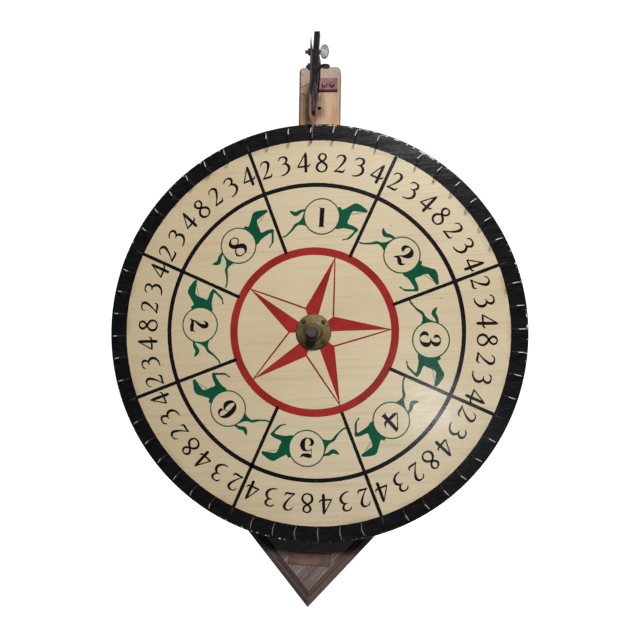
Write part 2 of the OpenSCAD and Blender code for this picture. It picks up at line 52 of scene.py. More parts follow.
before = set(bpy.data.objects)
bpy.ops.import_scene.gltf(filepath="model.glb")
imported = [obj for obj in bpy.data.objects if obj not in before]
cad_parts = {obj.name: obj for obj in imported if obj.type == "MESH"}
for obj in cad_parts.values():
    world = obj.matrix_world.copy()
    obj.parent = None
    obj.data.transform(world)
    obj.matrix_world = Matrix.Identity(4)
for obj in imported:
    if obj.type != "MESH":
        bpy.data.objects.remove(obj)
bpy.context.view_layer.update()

MM = 0.001
DIAL_LOW, DIAL_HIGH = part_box("wheel_disc")
FACE_Y = DIAL_LOW.y
BACK_Y = DIAL_HIGH.y
RIM_R = DIAL_HIGH.z
STAPLE_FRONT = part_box("rim_staples")[0].y
BAR_LOW, BAR_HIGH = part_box("clapper_bar")
TONGUE_LOW, TONGUE_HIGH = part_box("leather_tongue")
UPRIGHT_LOW, UPRIGHT_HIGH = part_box("upright")
LABEL_LOW, LABEL_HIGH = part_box("label_plate")

# Slope of the panel's edges, and how far the panel hangs out of square.
PANEL_EDGE = math.radians(41)
PANEL_TURN = math.radians(0.95)
# Middle of the upright's screw hole, as (x, z).
HOLE = (-0.002, 0.352)
VARNISH_ROUGH = 0.13
# Depth that the grain of the board gives to its paint.
PAINT_RELIEF = 0.00032
# Half width and half height of a thumb screw's head, in millimetres.
HEAD_WIDE, HEAD_TALL = 6.5, 10.5


def length(name, default, description):
    """A size property in metres."""
    return FloatProperty(name=name, description=description, default=default, unit="LENGTH", precision=5)


def angle(name, default, description):
    """An angle property, given in degrees."""
    return FloatProperty(
        name=name, description=description, default=math.radians(default), subtype="ANGLE"
    )


def colour(name, default, description):
    """A colour property in linear red, green and blue."""
    return FloatVectorProperty(
        name=name, description=description, default=default, subtype="COLOR", size=3, min=0, max=1
    )


def location(name, default, description):
    """A place property in metres."""
    return FloatVectorProperty(name=name, description=description, default=default, size=3, unit="LENGTH")


def watts(name, default, description):
    """The power of a light in watts."""
    return FloatProperty(name=name, description=description, default=default, unit="POWER", precision=3)


class DialSizes(PropertyGroup):
    """Sizes of the painted dial."""

    turn: angle("Turn", 1.35, "Clockwise turn of the dial at rest, seen from the front")
    hand_turn: angle("Hand turn", 0.4, "Most that hand-laid marks stray clockwise")
    hand_at: angle("Hand place", 30.0, "Clockwise place of the marks that stray most")
    fields: IntProperty(name="Fields", description="Fields round the dial", default=8)
    cells: IntProperty(name="Cells", description="Number cells in one field", default=7)
    paint: length("Paint", 0.00012, "Thickness of the painted shapes")
    band_r: length("Band radius", 0.2804, "Inner radius of the black rim band")
    red_r: length("Red ring radius", 0.11775, "Middle radius of the red ring")
    red_w: length("Red ring width", 0.0111, "Width of the red ring")
    black_r: length("Black ring radius", 0.21495, "Middle radius of the thin black ring")
    black_w: length("Black ring width", 0.0061, "Width of the thin black ring")
    line_w: length("Line width", 0.0050, "Width of the lines between the fields")
    star_tip: length("Star tip", 0.1135, "Radius of the tips of the star")
    star_notch: length("Star notch", 0.0365, "Radius of the notches of the star")
    star_line: length("Star line", 0.0023, "Width of the star's outline")
    star_turn: angle("Star turn", 15.25, "Clockwise turn of the first tip of the star")
    number_r: length("Number radius", 0.2505, "Radius of the rim numbers")
    pen: FloatProperty(name="Pen", description="Breadth of the pen of the rim numbers", default=1.2)
    second_run: length("Second run", 0.0008, "Shift of the last three numbers of a field, against the clock")
    figure_r: length("Figure radius", 0.1675, "Radius of the racing figures")
    disc_side: length("Disc side", 0.00435, "Place of a number disc beside the middle of its field")
    disc_out: length("Disc out", 0.00135, "Place of a number disc outside the radius of the figures")
    disc_r: length("Disc radius", 0.0259, "Radius of the number discs")
    disc_line: length("Disc line", 0.0018, "Width of the line round a number disc")


class StapleSizes(PropertyGroup):
    """Sizes of the bent wire staples."""

    wire_r: length("Wire radius", 0.00064, "Radius of the wire")
    rise: length("Rise", FACE_Y - STAPLE_FRONT - 0.00095, "Height of the crown over the dial")
    bend: length("Bend", 0.0032, "Radius of the bent crown")
    lean: angle("Lean", 36, "Lean of the sloping leg from square to the dial")
    inset: length("Inset", 0.0022, "Distance of the inner leg from the edge of the band")


class PaintColours(PropertyGroup):
    """Paints of the dial and the bracket."""

    cream: colour("Cream", (0.64, 0.535, 0.365), "Ground of the dial")
    tan: colour("Tan", (0.50, 0.375, 0.215), "Aged ground of the dial")
    black: colour("Black", (0.009, 0.008, 0.009), "Lines, numbers and rim band")
    red: colour("Red", (0.34, 0.025, 0.022), "Star and ring")
    green: colour("Green", (0.004, 0.084, 0.041), "Racing figures")
    maroon: colour("Maroon", (0.370, 0.135, 0.142), "Angle bracket")


class WoodColours(PropertyGroup):
    """Woods of the upright, the panel and the back of the dial."""

    pine: colour("Pine", (0.60, 0.415, 0.270), "Pale wood of the upright")
    pine_dark: colour("Pine grain", (0.34, 0.195, 0.098), "Grain of the upright")
    stain: colour("Stain", (0.175, 0.122, 0.118), "Stained wood of the panel")
    moulding: colour("Moulding", (0.125, 0.074, 0.060), "Stained wood of the mouldings")
    label: colour("Label", (0.190, 0.104, 0.082), "Bare label plate")


class MetalColours(PropertyGroup):
    """Metals and leather of the hub, the clapper and the fasteners."""

    brass: colour("Brass", (0.150, 0.102, 0.026), "Clean brass")
    patina: colour("Patina", (0.040, 0.028, 0.014), "Dull brass")
    steel: colour("Steel", (0.30, 0.285, 0.265), "Screws and nuts")
    dark_steel: colour("Dark steel", (0.028, 0.026, 0.028), "Clapper bar and pivot screw")
    axle: colour("Axle", (0.085, 0.072, 0.068), "Axle and collar")
    nickel: colour("Nickel", (0.23, 0.23, 0.225), "Clamp screw")
    rust: colour("Rust", (0.115, 0.052, 0.026), "Rust on wire and screws")
    leather: colour("Leather", (0.27, 0.118, 0.102), "Leather tongue")


class StageSettings(PropertyGroup):
    """Camera, lights and floor."""

    camera: location("Camera", (0.07944, -0.9251, -0.00273), "Place of the camera")
    yaw: angle("Yaw", -4.763, "Turn of the camera to the right")
    pitch: angle("Pitch", 1.361, "Tilt of the camera upward")
    roll: angle("Roll", 0.87, "Roll of the camera")
    lens: FloatProperty(name="Lens", description="Focal length in millimetres", default=32.83)
    floor: length("Floor", -0.95, "Height of the floor")
    world: FloatProperty(name="World", description="Strength of the soft light all round", default=0.045)
    key: watts("Key", 23.0, "Power of the main light")
    key_place: location("Key place", (0.60, -2.84, 1.90), "Place of the main light")
    key_aim: location("Key aim", (0.10, -0.08, 0.08), "Place that the main light faces")
    key_size: length("Key size", 0.60, "Width of the main light")
    key_spread: angle("Key spread", 80, "Spread of the main light")
    glare: watts("Glare", 0.046, "Power of the low soft light")
    glare_place: location("Glare place", (0.37, -1.94, -0.33), "Place of the low soft light")
    glare_aim: location("Glare aim", (0.17, -0.08, -0.10), "Place that the low soft light faces")
    glare_size: length("Glare size", 0.22, "Width of the low soft light")
    glare_spread: angle("Glare spread", 30, "Spread of the low soft light")
    glare_tint: colour("Glare tint", (0.84, 0.92, 1.0), "Colour of the low soft light")


class Sock:
    """A shader socket that takes part in Python arithmetic."""

    def __init__(self, finish, socket):
        self.finish = finish
        self.socket = socket

    def other(self, key):
        """Another output of the same node."""
        return Sock(self.finish, self.socket.node.outputs[key])

    def math(self, operation, *values):
        """A Math node with this socket first."""
        return self.finish.node("ShaderNodeMath", {"operation": operation}, (self, *values))

    def reflected(self, operation, value):
        """A Math node with this socket second."""
        return self.finish.node("ShaderNodeMath", {"operation": operation}, (value, self))

    def __add__(self, value):
        return self.math("ADD", value)

    __radd__ = __add__

    def __sub__(self, value):
        return self.math("SUBTRACT", value)

    def __rsub__(self, value):
        return self.reflected("SUBTRACT", value)

    def __mul__(self, value):
        return self.math("MULTIPLY", value)

    __rmul__ = __mul__

    def __truediv__(self, value):
        return self.math("DIVIDE", value)

    def __rtruediv__(self, value):
        return self.reflected("DIVIDE", value)

    def __pow__(self, value):
        return self.math("POWER", value)

    def __abs__(self):
        return self.math("ABSOLUTE")

    def between(self, low, high):
        """A smooth step from 0 at low to 1 at high."""
        if low > high:
            return 1 - self.between(high, low)
        settings = {"interpolation_type": "SMOOTHSTEP"}
        return self.finish.node("ShaderNodeMapRange", settings, (self, low, high, 0.0, 1.0))


class Finish:
    """A node material. Its nodes come from one method, and its sockets work in expressions."""

    def __init__(self, name):
        self.material = bpy.data.materials.new(name)
        self.material.use_nodes = True
        self.tree = self.material.node_tree
        self.shader = self.tree.nodes["Principled BSDF"]
        self.place = self.node("ShaderNodeTexCoord", out="Object")

    def feed(self, value, socket):
        """Link a socket, or set its constant."""
        if isinstance(value, Sock):
            self.tree.links.new(value.socket, socket)
            return
        if socket.type == "RGBA" and len(value) == 3:
            value = (*value, 1.0)
        socket.default_value = value

    def node(self, kind, settings=None, inputs=(), out=0):
        """Add a node, set it up, feed its sockets by number or name, and return one output."""
        node = self.tree.nodes.new(kind)
        for key, value in (settings or {}).items():
            setattr(node, key, value)
        pairs = inputs.items() if isinstance(inputs, dict) else enumerate(inputs)
        for key, value in pairs:
            self.feed(value, node.inputs[key])
        return Sock(self, node.outputs[out])

    def xyz(self):
        """The three coordinates of the place, in metres."""
        x = self.node("ShaderNodeSeparateXYZ", None, (self.place,))
        return x, x.other(1), x.other(2)

    def stretched(self, scale, turn=(0.0, 0.0, 0.0), shift=(0.0, 0.0, 0.0)):
        """The place turned by angles, moved, and then scaled by axis."""
        inputs = {"Vector": self.place, "Rotation": turn}
        turned = self.node("ShaderNodeVectorRotate", {"rotation_type": "EULER_XYZ"}, inputs)
        moved = self.node("ShaderNodeVectorMath", {"operation": "ADD"}, (turned, shift))
        return self.node("ShaderNodeVectorMath", {"operation": "MULTIPLY"}, (moved, scale))

    def noise(self, scale, detail=4.0, rough=0.55, where=None):
        """Noise from 0 to 1."""
        inputs = {"Vector": where or self.place, "Scale": scale, "Detail": detail, "Roughness": rough}
        return self.node("ShaderNodeTexNoise", None, inputs)

    def streaks(self, scale, detail=4.0, rough=0.6, **lie):
        """Noise from 0 to 1 with a scale for each axis, at the turn and shift that are given."""
        return self.noise(1.0, detail, rough, self.stretched(scale, **lie))

    def mix(self, first, second, factor):
        """Two colours mixed by a factor."""
        return self.node("ShaderNodeMix", {"data_type": "RGBA"}, {0: factor, 6: first, 7: second}, out=2)

    def over(self, tint, *layers):
        """A colour with others laid over it in turn, each given as (colour, share)."""
        for layer, share in layers:
            tint = self.mix(tint, layer, share)
        return tint

    def shade(self, colour, rough, height=None, depth=0.0002, **sockets):
        """Feed the shader: colour, roughness, a bump height in its own depth, and other sockets by name."""
        self.feed(colour, self.shader.inputs["Base Color"])
        self.feed(rough, self.shader.inputs["Roughness"])
        for name, value in sockets.items():
            self.feed(value, self.shader.inputs[name.replace("_", " ").title().replace("Ior", "IOR")])
        if height is not None:
            bump = self.node("ShaderNodeBump", None, {"Height": height, "Distance": depth})
            self.feed(bump, self.shader.inputs["Normal"])
        return self.material


def distance(across, up):
    """The distance that two coordinates make together."""
    return (across * across + up * up).math("SQRT")


def darker(value, share):
    """A colour taken toward black."""
    return tuple(channel * share for channel in value)


def faded(value, share, lift):
    """A colour scaled by a share and then lifted toward white."""
    return tuple(channel * share + lift for channel in value)


def board_fibre(f):
    """Fine wood fibre that lies across the dial and shows through its paint."""
    lie = (0.0, math.radians(3.5), 0.0)
    fine = f.streaks((9.0, 9.0, 520.0), 5.0, turn=lie)
    broad = f.streaks((5.0, 5.0, 130.0), 3.0, 0.5, turn=lie)
    return fine * 0.65 + broad * 0.35


def varnish(f, fibre):
    """Clear varnish over the paint, thinner between the fibres and where it is rubbed."""
    streak = f.streaks((60.0, 60.0, 420.0)).between(0.36, 0.62)
    rubbed = f.noise(55.0, 4.0, 0.6).between(0.36, 0.60)
    return 0.14 + fibre.between(0.38, 0.62) * 0.10 + streak * (0.12 + rubbed * 0.30)


def dial_ground(f, paints, fibre, x, r, band_r):
    """Cream paint: fibre shows through, it is tan in blotches and toward the left, flecked, and grimy at the
    band.
    """
    blotch = f.noise(6.0, 4.0, 0.6).between(0.42, 0.72)
    # Tan in blotches, and tan toward the left of the dial.
    tan_blotch_and_left = (blotch * 0.34 + x.between(0.16, -0.30) * 0.50) * 0.9
    fleck = f.noise(150.0, 2.0, 0.5).between(0.735, 0.76)
    grime = r.between(band_r - 0.010, band_r) * f.noise(28.0).between(0.40, 0.70)
    return f.over(
        darker(paints.cream, 1.04),
        (darker(paints.cream, 0.88), fibre.between(0.40, 0.66) * 0.6),
        (darker(paints.tan, 0.85), fibre.between(0.56, 0.66) * 0.32),
        (paints.tan, tan_blotch_and_left),
        (darker(paints.tan, 0.35), fleck * 0.8),
        (darker(paints.tan, 0.55), grime * 0.40),
    )


def rim_chips(f, x, z, r):
    """Chips in the band's paint just inside the rim: in patches, at the upper right and at the bottom."""
    patch = f.noise(5.2, 2.0, 0.5).between(0.50, 0.60)
    top_right = x.between(-0.03, 0.03) * x.between(0.21, 0.17) * z.between(0.18, 0.22)
    rubbed = top_right + z.between(-0.27, -0.29) * 0.12
    edge = r.between(RIM_R - 0.0046, RIM_R - 0.0020) * r.between(RIM_R - 0.0005, RIM_R - 0.0013)
    flake = f.noise(190.0, 4.0, 0.62) + edge * 0.27 + rubbed * edge * 0.06
    return flake.between(0.835, 0.855) * (patch + rubbed).math("MINIMUM", 1.0)


def bare_back(f, woods, fibre):
    """Aged bare board with dust in its grain."""
    aged = tuple((pale + dark) * 0.42 for pale, dark in zip(woods.pine, woods.pine_dark))
    clean = f.mix(woods.pine, woods.pine_dark, fibre.between(0.40, 0.62))
    return f.over(
        aged,
        (darker(aged, 0.45), fibre.between(0.36, 0.64)),
        (darker(aged, 0.25), f.noise(9.0, 5.0, 0.6).between(0.45, 0.75) * 0.5),
        (clean, 0.15),
    )


def dial_board_finish(paints, woods, sizes):
    """Cream paint over grained board, a glossy black rim band with chipped edges, and a raw back."""
    f = Finish("dial_board")
    x, y, z = f.xyz()
    r = distance(x, z)
    fibre = board_fibre(f)
    brush = f.streaks((60.0, 60.0, 260.0), 6.0, 0.65)
    chip = rim_chips(f, x, z, r)
    sheen = (0.013, 0.014, 0.018)
    primer = (0.74, 0.70, 0.62)
    band = f.over(darker(paints.black, 0.6), (sheen, brush.between(0.45, 0.75) * 0.8), (primer, chip))
    wobble = (f.noise(130.0, 2.0) - 0.5) * 0.0008
    on_band = (r + wobble).between(sizes.band_r - 0.00025, sizes.band_r + 0.00025)
    at_back = y.between(BACK_Y - 0.0009, BACK_Y - 0.0004)
    ground = dial_ground(f, paints, fibre, x, r, sizes.band_r)
    tint = f.over(ground, (band, on_band), (bare_back(f, woods, fibre), at_back))
    bare = chip * on_band
    rough = 0.21 + fibre.between(0.40, 0.66) * 0.08 + on_band * (brush * 0.10 - 0.09)
    rough = rough + at_back * 0.30 + bare * 0.3
    height = fibre * (1 - on_band * 0.80) + brush * on_band * 0.5 - bare * 2.0
    gloss = varnish(f, fibre) * (1 - at_back)
    return f.shade(
        tint, rough, height, PAINT_RELIEF,
        specular_ior_level=0.18, coat_weight=gloss, coat_roughness=VARNISH_ROUGH,
    )


def sign_paint_finish(name, tint, paints, wear):
    """Brushed sign paint: the board's fibre shows through, and it is worn thin in specks."""
    f = Finish(name)
    fibre = board_fibre(f)
    cloud = f.noise(22.0, 4.0, 0.6)
    thin = f.noise(210.0, 5.0, 0.6).between(0.70, 0.74) * wear
    body = f.over(
        tint,
        (darker(tint, 0.72), cloud.between(0.35, 0.70)),
        (faded(tint, 0.9, 0.006), fibre.between(0.50, 0.66) * 0.55),
        (paints.cream, thin),
    )
    rough = 0.15 + cloud * 0.08 + thin * 0.2
    return f.shade(
        body, rough, fibre + cloud * 0.3, PAINT_RELIEF,
        specular_ior_level=0.15, coat_weight=varnish(f, fibre), coat_roughness=VARNISH_ROUGH,
    )


def wire_finish(metals, sizes):
    """Staple wire: rusty on the inner leg, rubbed bright with a painted highlight on the sloping leg, and tan
    at the bottom of the dial.
    """
    f = Finish("wire")
    x, _, z = f.xyz()
    r = distance(x, z) + (f.noise(60.0, 2.0) - 0.5) * 0.004
    bright = r.between(sizes.band_r + 0.0050, sizes.band_r + 0.0080)
    pit = f.noise(700.0, 4.0, 0.6)
    tan = z.between(-0.255, -0.285) * 0.8
    grey = (0.060, 0.050, 0.044)
    tan_rust = (0.36, 0.28, 0.21)
    old = f.over(darker(metals.rust, 0.35), (grey, pit.between(0.45, 0.65) * 0.6), (tan_rust, tan))
    # The sloping leg is rubbed bright, and its near-white colour is also a painted highlight.
    rubbed_and_highlight_white = (0.92, 0.90, 0.86)
    stained = (0.55, 0.50, 0.43)
    tan_wire = (0.50, 0.42, 0.33)
    new = f.over(rubbed_and_highlight_white, (stained, pit.between(0.50, 0.75) * 0.5), (tan_wire, tan))
    return f.shade(f.mix(old, new, bright), 0.55 - bright * 0.15, pit, 0.00008, metallic=0.40 - bright * 0.15)


def worn_metal_finish(
    name, clean, worn, scale=90.0, rough=(0.30, 0.55), metallic=0.9, spread=(0.40, 0.66), shine=0.5
):
    """Metal with dull patches, fine pits and uneven gloss."""
    f = Finish(name)
    patch = f.noise(scale, 6.0, 0.62)
    pit = f.noise(scale * 7.0, 3.0, 0.6)
    dull = patch.between(*spread)
    tint = f.over(clean, (worn, dull), (darker(worn, 0.45), pit.between(0.62, 0.72) * 0.6))
    gloss = rough[0] + dull * (rough[1] - rough[0]) + pit * 0.08
    metal = metallic - dull * 0.15
    return f.shade(tint, gloss, pit + patch * 0.5, 0.00006, metallic=metal, specular_ior_level=shine)


def screw_finish(name, metals):
    """Dull screw steel with rust in patches."""
    return worn_metal_finish(name, metals.steel, metals.rust, 260.0, spread=(0.48, 0.72))


def bar_finish():
    """Blackened steel of the clapper bar, with a painted grey highlight low on its blade and grey along its
    edges that is partly rubbed steel and partly painted highlight.
    """
    f = Finish("bar_steel")
    x, _, z = f.xyz()
    patch = f.noise(110.0, 6.0, 0.62)
    pit = f.noise(770.0, 3.0, 0.6)
    streak = f.streaks((420.0, 420.0, 60.0))
    # Painted highlight: grey streaks low on the blade stand for its glint. Along both edges the grey is
    # partly rubbed steel and partly painted highlight.
    blade_highlight = streak.between(0.44, 0.62) * z.between(0.372, 0.350)
    edge = (x - (BAR_LOW.x + BAR_HIGH.x) / 2) / (BAR_HIGH.x - BAR_LOW.x) * 2
    edges = abs(edge).between(0.80, 0.97) * streak.between(0.40, 0.60)
    black = (0.010, 0.009, 0.012)
    soot = (0.003, 0.002, 0.003)
    grey = (0.085, 0.080, 0.090)
    rub_and_highlight_grey = (0.050, 0.046, 0.050)
    tint = f.over(
        black,
        (soot, patch.between(0.34, 0.54)),
        (grey, blade_highlight * 0.75),
        (rub_and_highlight_grey, edges * 0.7),
    )
    return f.shade(tint, 0.40 + patch * 0.2, pit + patch * 0.5, 0.00006, specular_ior_level=0.07)


def nickel_finish(metals):
    """Dull nickel on the head of the clamp screw, with painted shade round its rim and dark painted shade
    over its shank.
    """
    f = Finish("nickel")
    x, _, z = f.xyz()
    patch = f.noise(180.0, 6.0, 0.62)
    pit = f.noise(1200.0, 3.0, 0.6)
    dull = patch.between(0.45, 0.72)
    low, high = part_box("clamp_thumb_screw")
    across = (x - (high.x - HEAD_WIDE * MM)) / (HEAD_WIDE * MM)
    along = (z - (low.z + high.z) / 2) / (HEAD_TALL * MM)
    # Painted shade: the head is darkened round its raised rim.
    rim = (across * across + along * along).between(0.62, 0.86)
    head = f.over(
        metals.nickel, (darker(metals.nickel, 0.5), dull), (darker(metals.nickel, 0.30), rim * 0.75)
    )
    # Painted shade: the shank takes the dark steel colour.
    on_head = x.between(0.0018, 0.0028)
    tint = f.mix(metals.dark_steel, head, on_head)
    return f.shade(tint, 0.34 + dull * 0.18, pit + patch * 0.5, 0.00006, metallic=0.2)


def turned_finish(name, clean, worn, axis_y, rough, metallic=0.92, low_left_shade=0.0):
    """Turned metal: rings round the axle over dents and dull patches. Given a share of shade, the dull colour
    gathers low on its left as painted shade and the upper right stays bright as a painted highlight.
    """
    f = Finish(name)
    x, y, z = f.xyz()
    lathe = ((distance(x, z) + y * axis_y) * 5200.0).math("SINE") * 0.5 + 0.5
    patch = f.noise(70.0, 6.0, 0.65)
    dent = f.noise(420.0, 3.0, 0.6)
    # Painted shade: the dull colour gathers low on the left, and the upper right stays bright as a painted
    # highlight.
    dull = (patch - (x * 0.5 + z) * low_left_shade).between(0.38, 0.62)
    tint = f.over(clean, (worn, dull * 0.9), (darker(worn, 0.4), dent.between(0.60, 0.70) * 0.7))
    gloss = rough + dull * 0.16 + dent * 0.10
    height = dent * 0.8 + lathe * 0.15 + patch * 0.4
    return f.shade(tint, gloss, height, 0.00012, metallic=metallic - dull * 0.2)


def crack_mask(f, x, z, start, end, width):
    """A dark split along a line, thinner toward its inner end."""
    along = Vector(end) - Vector(start)
    share = ((x - start[0]) * along[0] + (z - start[1]) * along[1]) / along.length_squared
    share = share.math("MAXIMUM", 0.0).math("MINIMUM", 1.0)
    bend = (f.noise(120.0, 3.0) - 0.5) * 0.0020
    away = distance(x - start[0] - share * along[0], z - start[1] - share * along[1] + bend)
    return (away / (1.15 - share)).between(width, width * 0.35)


def pine_finish(woods):
    """Raw aged pine: upright grain with dark growth lines, darker edges, splits and painted shade in its
    screw hole.
    """
    f = Finish("pine")
    x, y, z = f.xyz()
    sway = (f.streaks((9.0, 9.0, 2.4), 3.0, 0.5) - 0.5) * 0.030
    growth = (((x + y * 0.7 + sway) * 1150.0).math("SINE") * 0.5 + 0.5) ** 3.0
    fibre = f.streaks((330.0, 330.0, 7.0), 6.0, 0.62)
    cloud = f.streaks((26.0, 26.0, 9.0))
    grain = growth * cloud.between(0.35, 0.60) * 0.24 + fibre.between(0.43, 0.68) * 0.66
    dash = f.streaks((420.0, 420.0, 55.0)).between(0.60, 0.67)
    blush = f.streaks((60.0, 60.0, 22.0), shift=(0.2, 0.0, 0.1)).between(0.46, 0.66)
    ragged = x + (f.streaks((90.0, 90.0, 160.0), 3.0) - 0.5) * 0.0030
    # Darker along both edges of the upright.
    left = ragged.between(UPRIGHT_LOW.x + 0.0032, UPRIGHT_LOW.x + 0.0018) * 0.9
    right = ragged.between(UPRIGHT_HIGH.x - 0.0022, UPRIGHT_HIGH.x - 0.0006) * 0.6
    speck = f.noise(190.0, 3.0, 0.5).between(0.70, 0.74)
    split = crack_mask(f, x, z, (-0.0334, 0.3840), (-0.0160, 0.3924), 0.00075)
    split = split + crack_mask(f, x, z, (-0.0345, 0.3757), (-0.0204, 0.3724), 0.00065)
    split = split + crack_mask(f, x, z, (-0.0206, 0.3576), (-0.0204, 0.3550), 0.00060) * 0.5
    split = split * y.between(UPRIGHT_LOW.y + 0.002, UPRIGHT_LOW.y + 0.0005)
    # Painted shade: the wood is darkened round the screw hole, where its walls lie in shade.
    hole_shade_mask = distance(x - HOLE[0], z - HOLE[1]).between(0.0032, 0.0027)
    resin = (0.22, 0.105, 0.060)
    honey = (0.55, 0.27, 0.09)
    pink_brown = (0.35, 0.215, 0.165)
    dull_brown = (0.30, 0.200, 0.157)
    weathered = (0.37, 0.315, 0.285)
    edge_dark = (0.070, 0.042, 0.026)
    bark_speck = (0.12, 0.055, 0.030)
    split_dark = (0.045, 0.020, 0.012)
    hole_shade = (0.030, 0.018, 0.012)
    tint = f.over(
        woods.pine,
        (woods.pine_dark, grain),
        (resin, dash * 0.70),
        (honey, cloud.between(0.38, 0.66) * z.between(0.372, 0.335) * 0.75),
        (pink_brown, blush * 0.62),
        (dull_brown, x.between(-0.012, -0.034) * (0.10 + cloud * 0.4)),
        (weathered, z.between(0.370, 0.412) * 0.62),
        (edge_dark, (left + right).math("MINIMUM", 1.0)),
        (bark_speck, speck * 0.7),
        (split_dark, split),
        (hole_shade, hole_shade_mask),
    )
    height = fibre * 0.6 + growth * 0.4 - split * 4.0
    return f.shade(tint, 0.62 + fibre * 0.16, height, 0.00030, specular_ior_level=0.2)


def stained_wood_finish(name, tone, lie, coarse, streak=1.0):
    """Dark stained wood, its grain along one direction in the panel's plane, rubbed pale in fine streaks, and
    darkened by a painted shadow just under the dial.
    """
    f = Finish(name)
    _, y, z = f.xyz()
    turn = (0.0, lie, 0.0)
    fibre = f.streaks((850.0 * coarse, 300.0, 22.0), 6.0, 0.65, turn=turn)
    stripe = f.streaks((120.0 * coarse, 90.0, 4.0), turn=turn, shift=(0.3, 0.1, 0.2))
    cloud = f.noise(11.0, 4.0, 0.6)
    pale = (tone[0] * 1.4 + 0.16, tone[1] * 1.4 + 0.15, tone[2] * 1.4 + 0.17)
    # Painted shadow: the wood is stained darker just under the dial, where the dial's shadow falls.
    dial_shadow_paint = z.between(LABEL_HIGH.z - 0.003, LABEL_HIGH.z + 0.005)
    dial_shadow_paint = dial_shadow_paint * y.between(UPRIGHT_LOW.y, UPRIGHT_LOW.y - 0.004)
    tint = f.over(
        tone,
        (darker(tone, 0.62), stripe.between(0.38, 0.64)),
        (pale, fibre.between(0.52, 0.60) * 0.70 * streak),
        (darker(tone, 0.4), cloud.between(0.50, 0.78) * 0.4),
        (darker(tone, 0.2), dial_shadow_paint * 0.8),
    )
    return f.shade(tint, 0.42 + stripe * 0.22, fibre + stripe * 0.8, 0.00034, coat_weight=0.08)


def label_finish(woods):
    """A thin bare plate: mottled brown with a darker border."""
    f = Finish("label")
    x, _, z = f.xyz()
    centre = (LABEL_LOW + LABEL_HIGH) / 2
    half = (LABEL_HIGH - LABEL_LOW) / 2
    cosine, sine = math.cos(PANEL_TURN), math.sin(PANEL_TURN)
    along = (x - centre.x) * cosine - (z - centre.z) * sine
    across = (x - centre.x) * sine + (z - centre.z) * cosine
    edge_x = half.x - half.z * sine - abs(along)
    edge_z = half.z - half.x * sine - abs(across)
    border = edge_x.math("MINIMUM", edge_z).between(0.0013, 0.0006)
    cloud = f.noise(45.0, 5.0, 0.62)
    stain = f.noise(120.0, 4.0, 0.6).between(0.60, 0.70)
    tint = f.over(
        woods.label,
        (darker(woods.label, 0.55), cloud.between(0.38, 0.70)),
        (darker(woods.label, 0.3), stain * 0.6),
        (darker(woods.label, 0.22), border * 0.85),
    )
    return f.shade(tint, 0.55 + cloud * 0.2, cloud - border, 0.00012)


def bracket_finish(paints, metals):
    """Maroon paint on strap steel, rubbed through in specks, nearly black with painted shade along its foot
    and its arm.
    """
    f = Finish("red_paint")
    _, y, z = f.xyz()
    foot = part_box("angle_bracket")[0].z
    cloud = f.noise(80.0, 5.0, 0.6)
    rub = f.noise(260.0, 5.0, 0.65).between(0.64, 0.70)
    # Painted shade: the plate's lowest edge and the forward arm are darkened where shade falls on them.
    foot_shade_paint = (0.022, 0.004, 0.005)
    arm_shade_paint = (0.010, 0.005, 0.005)
    tint = f.over(
        paints.maroon,
        (darker(paints.maroon, 0.5), cloud.between(0.35, 0.68)),
        (faded(paints.maroon, 1.4, 0.02), f.noise(30.0).between(0.5, 0.7) * 0.5),
        (darker(metals.rust, 0.8), rub * 0.8),
        (foot_shade_paint, z.between(foot + 0.0034, foot + 0.0026) * 0.9),
        (arm_shade_paint, y.between(-0.070, -0.086) * 0.92),
    )
    rough = 0.48 + cloud * 0.18 + rub * 0.2
    return f.shade(tint, rough, cloud - rub, 0.00010, metallic=rub * 0.4, specular_ior_level=0.15)


def leather_finish(metals):
    """Worn red-brown leather with a pebbled grain and darker creases, with painted shade darkening it where
    it lies along the bar.
    """
    f = Finish("leather")
    z = f.xyz()[2]
    inputs = {"Vector": f.place, "Scale": 900.0}
    pebble = f.node("ShaderNodeTexVoronoi", {"feature": "DISTANCE_TO_EDGE"}, inputs).between(0.0, 0.18)
    cloud = f.noise(70.0, 5.0, 0.6)
    crease = f.streaks((160.0, 160.0, 500.0)).between(0.56, 0.66)
    # Painted shade: the leather is darkened from the bar's foot upward, a little less at the very top.
    bar_shade_paint = z.between(0.336, 0.347) * (0.95 - z.between(0.408, 0.416) * 0.17)
    tint = f.over(
        metals.leather,
        (darker(metals.leather, 0.5), cloud.between(0.38, 0.66)),
        (faded(metals.leather, 1.25, 0.03), f.noise(240.0).between(0.50, 0.68) * 0.5),
        (darker(metals.leather, 0.3), crease * 0.6),
        (darker(metals.leather, 0.12), bar_shade_paint),
    )
    return f.shade(tint, 0.52 + cloud * 0.2, pebble * 0.4 - crease * 0.6 + cloud * 0.5, 0.00018)


def coat(material, *nodes):
    """Put a material on nodes of the frame."""
    for name in nodes:
        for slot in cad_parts[name].material_slots:
            slot.material = material


def make_piece(name, bm, material, body, smooth=False):
    """Turn a built mesh into a piece that rides on a body."""
    bmesh.ops.recalc_face_normals(bm, faces=bm.faces)
    mesh = bpy.data.meshes.new(name)
    bm.to_mesh(mesh)
    bm.free()
    mesh.materials.append(material)
    piece = bpy.data.objects.new(name, mesh)
    bpy.context.scene.collection.objects.link(piece)
    if smooth:
        mesh.shade_smooth()
    if body:
        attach(piece, body)
    return piece


def wall(bm, rings):
    """Join each ring of vertices to the next."""
    for low, high in zip(rings, rings[1:]):
        for k in range(len(low)):
            j = (k + 1) % len(low)
            bm.faces.new((low[k], low[j], high[j], high[k]))


def bridge(bm, rings):
    """Join rings of vertices into one closed skin."""
    wall(bm, rings)
    bm.faces.new(reversed(rings[0]))
    bm.faces.new(rings[-1])


def round_steps(count):
    """Equal steps of a full turn, as angles."""
    return [2 * math.pi * i / count for i in range(count)]


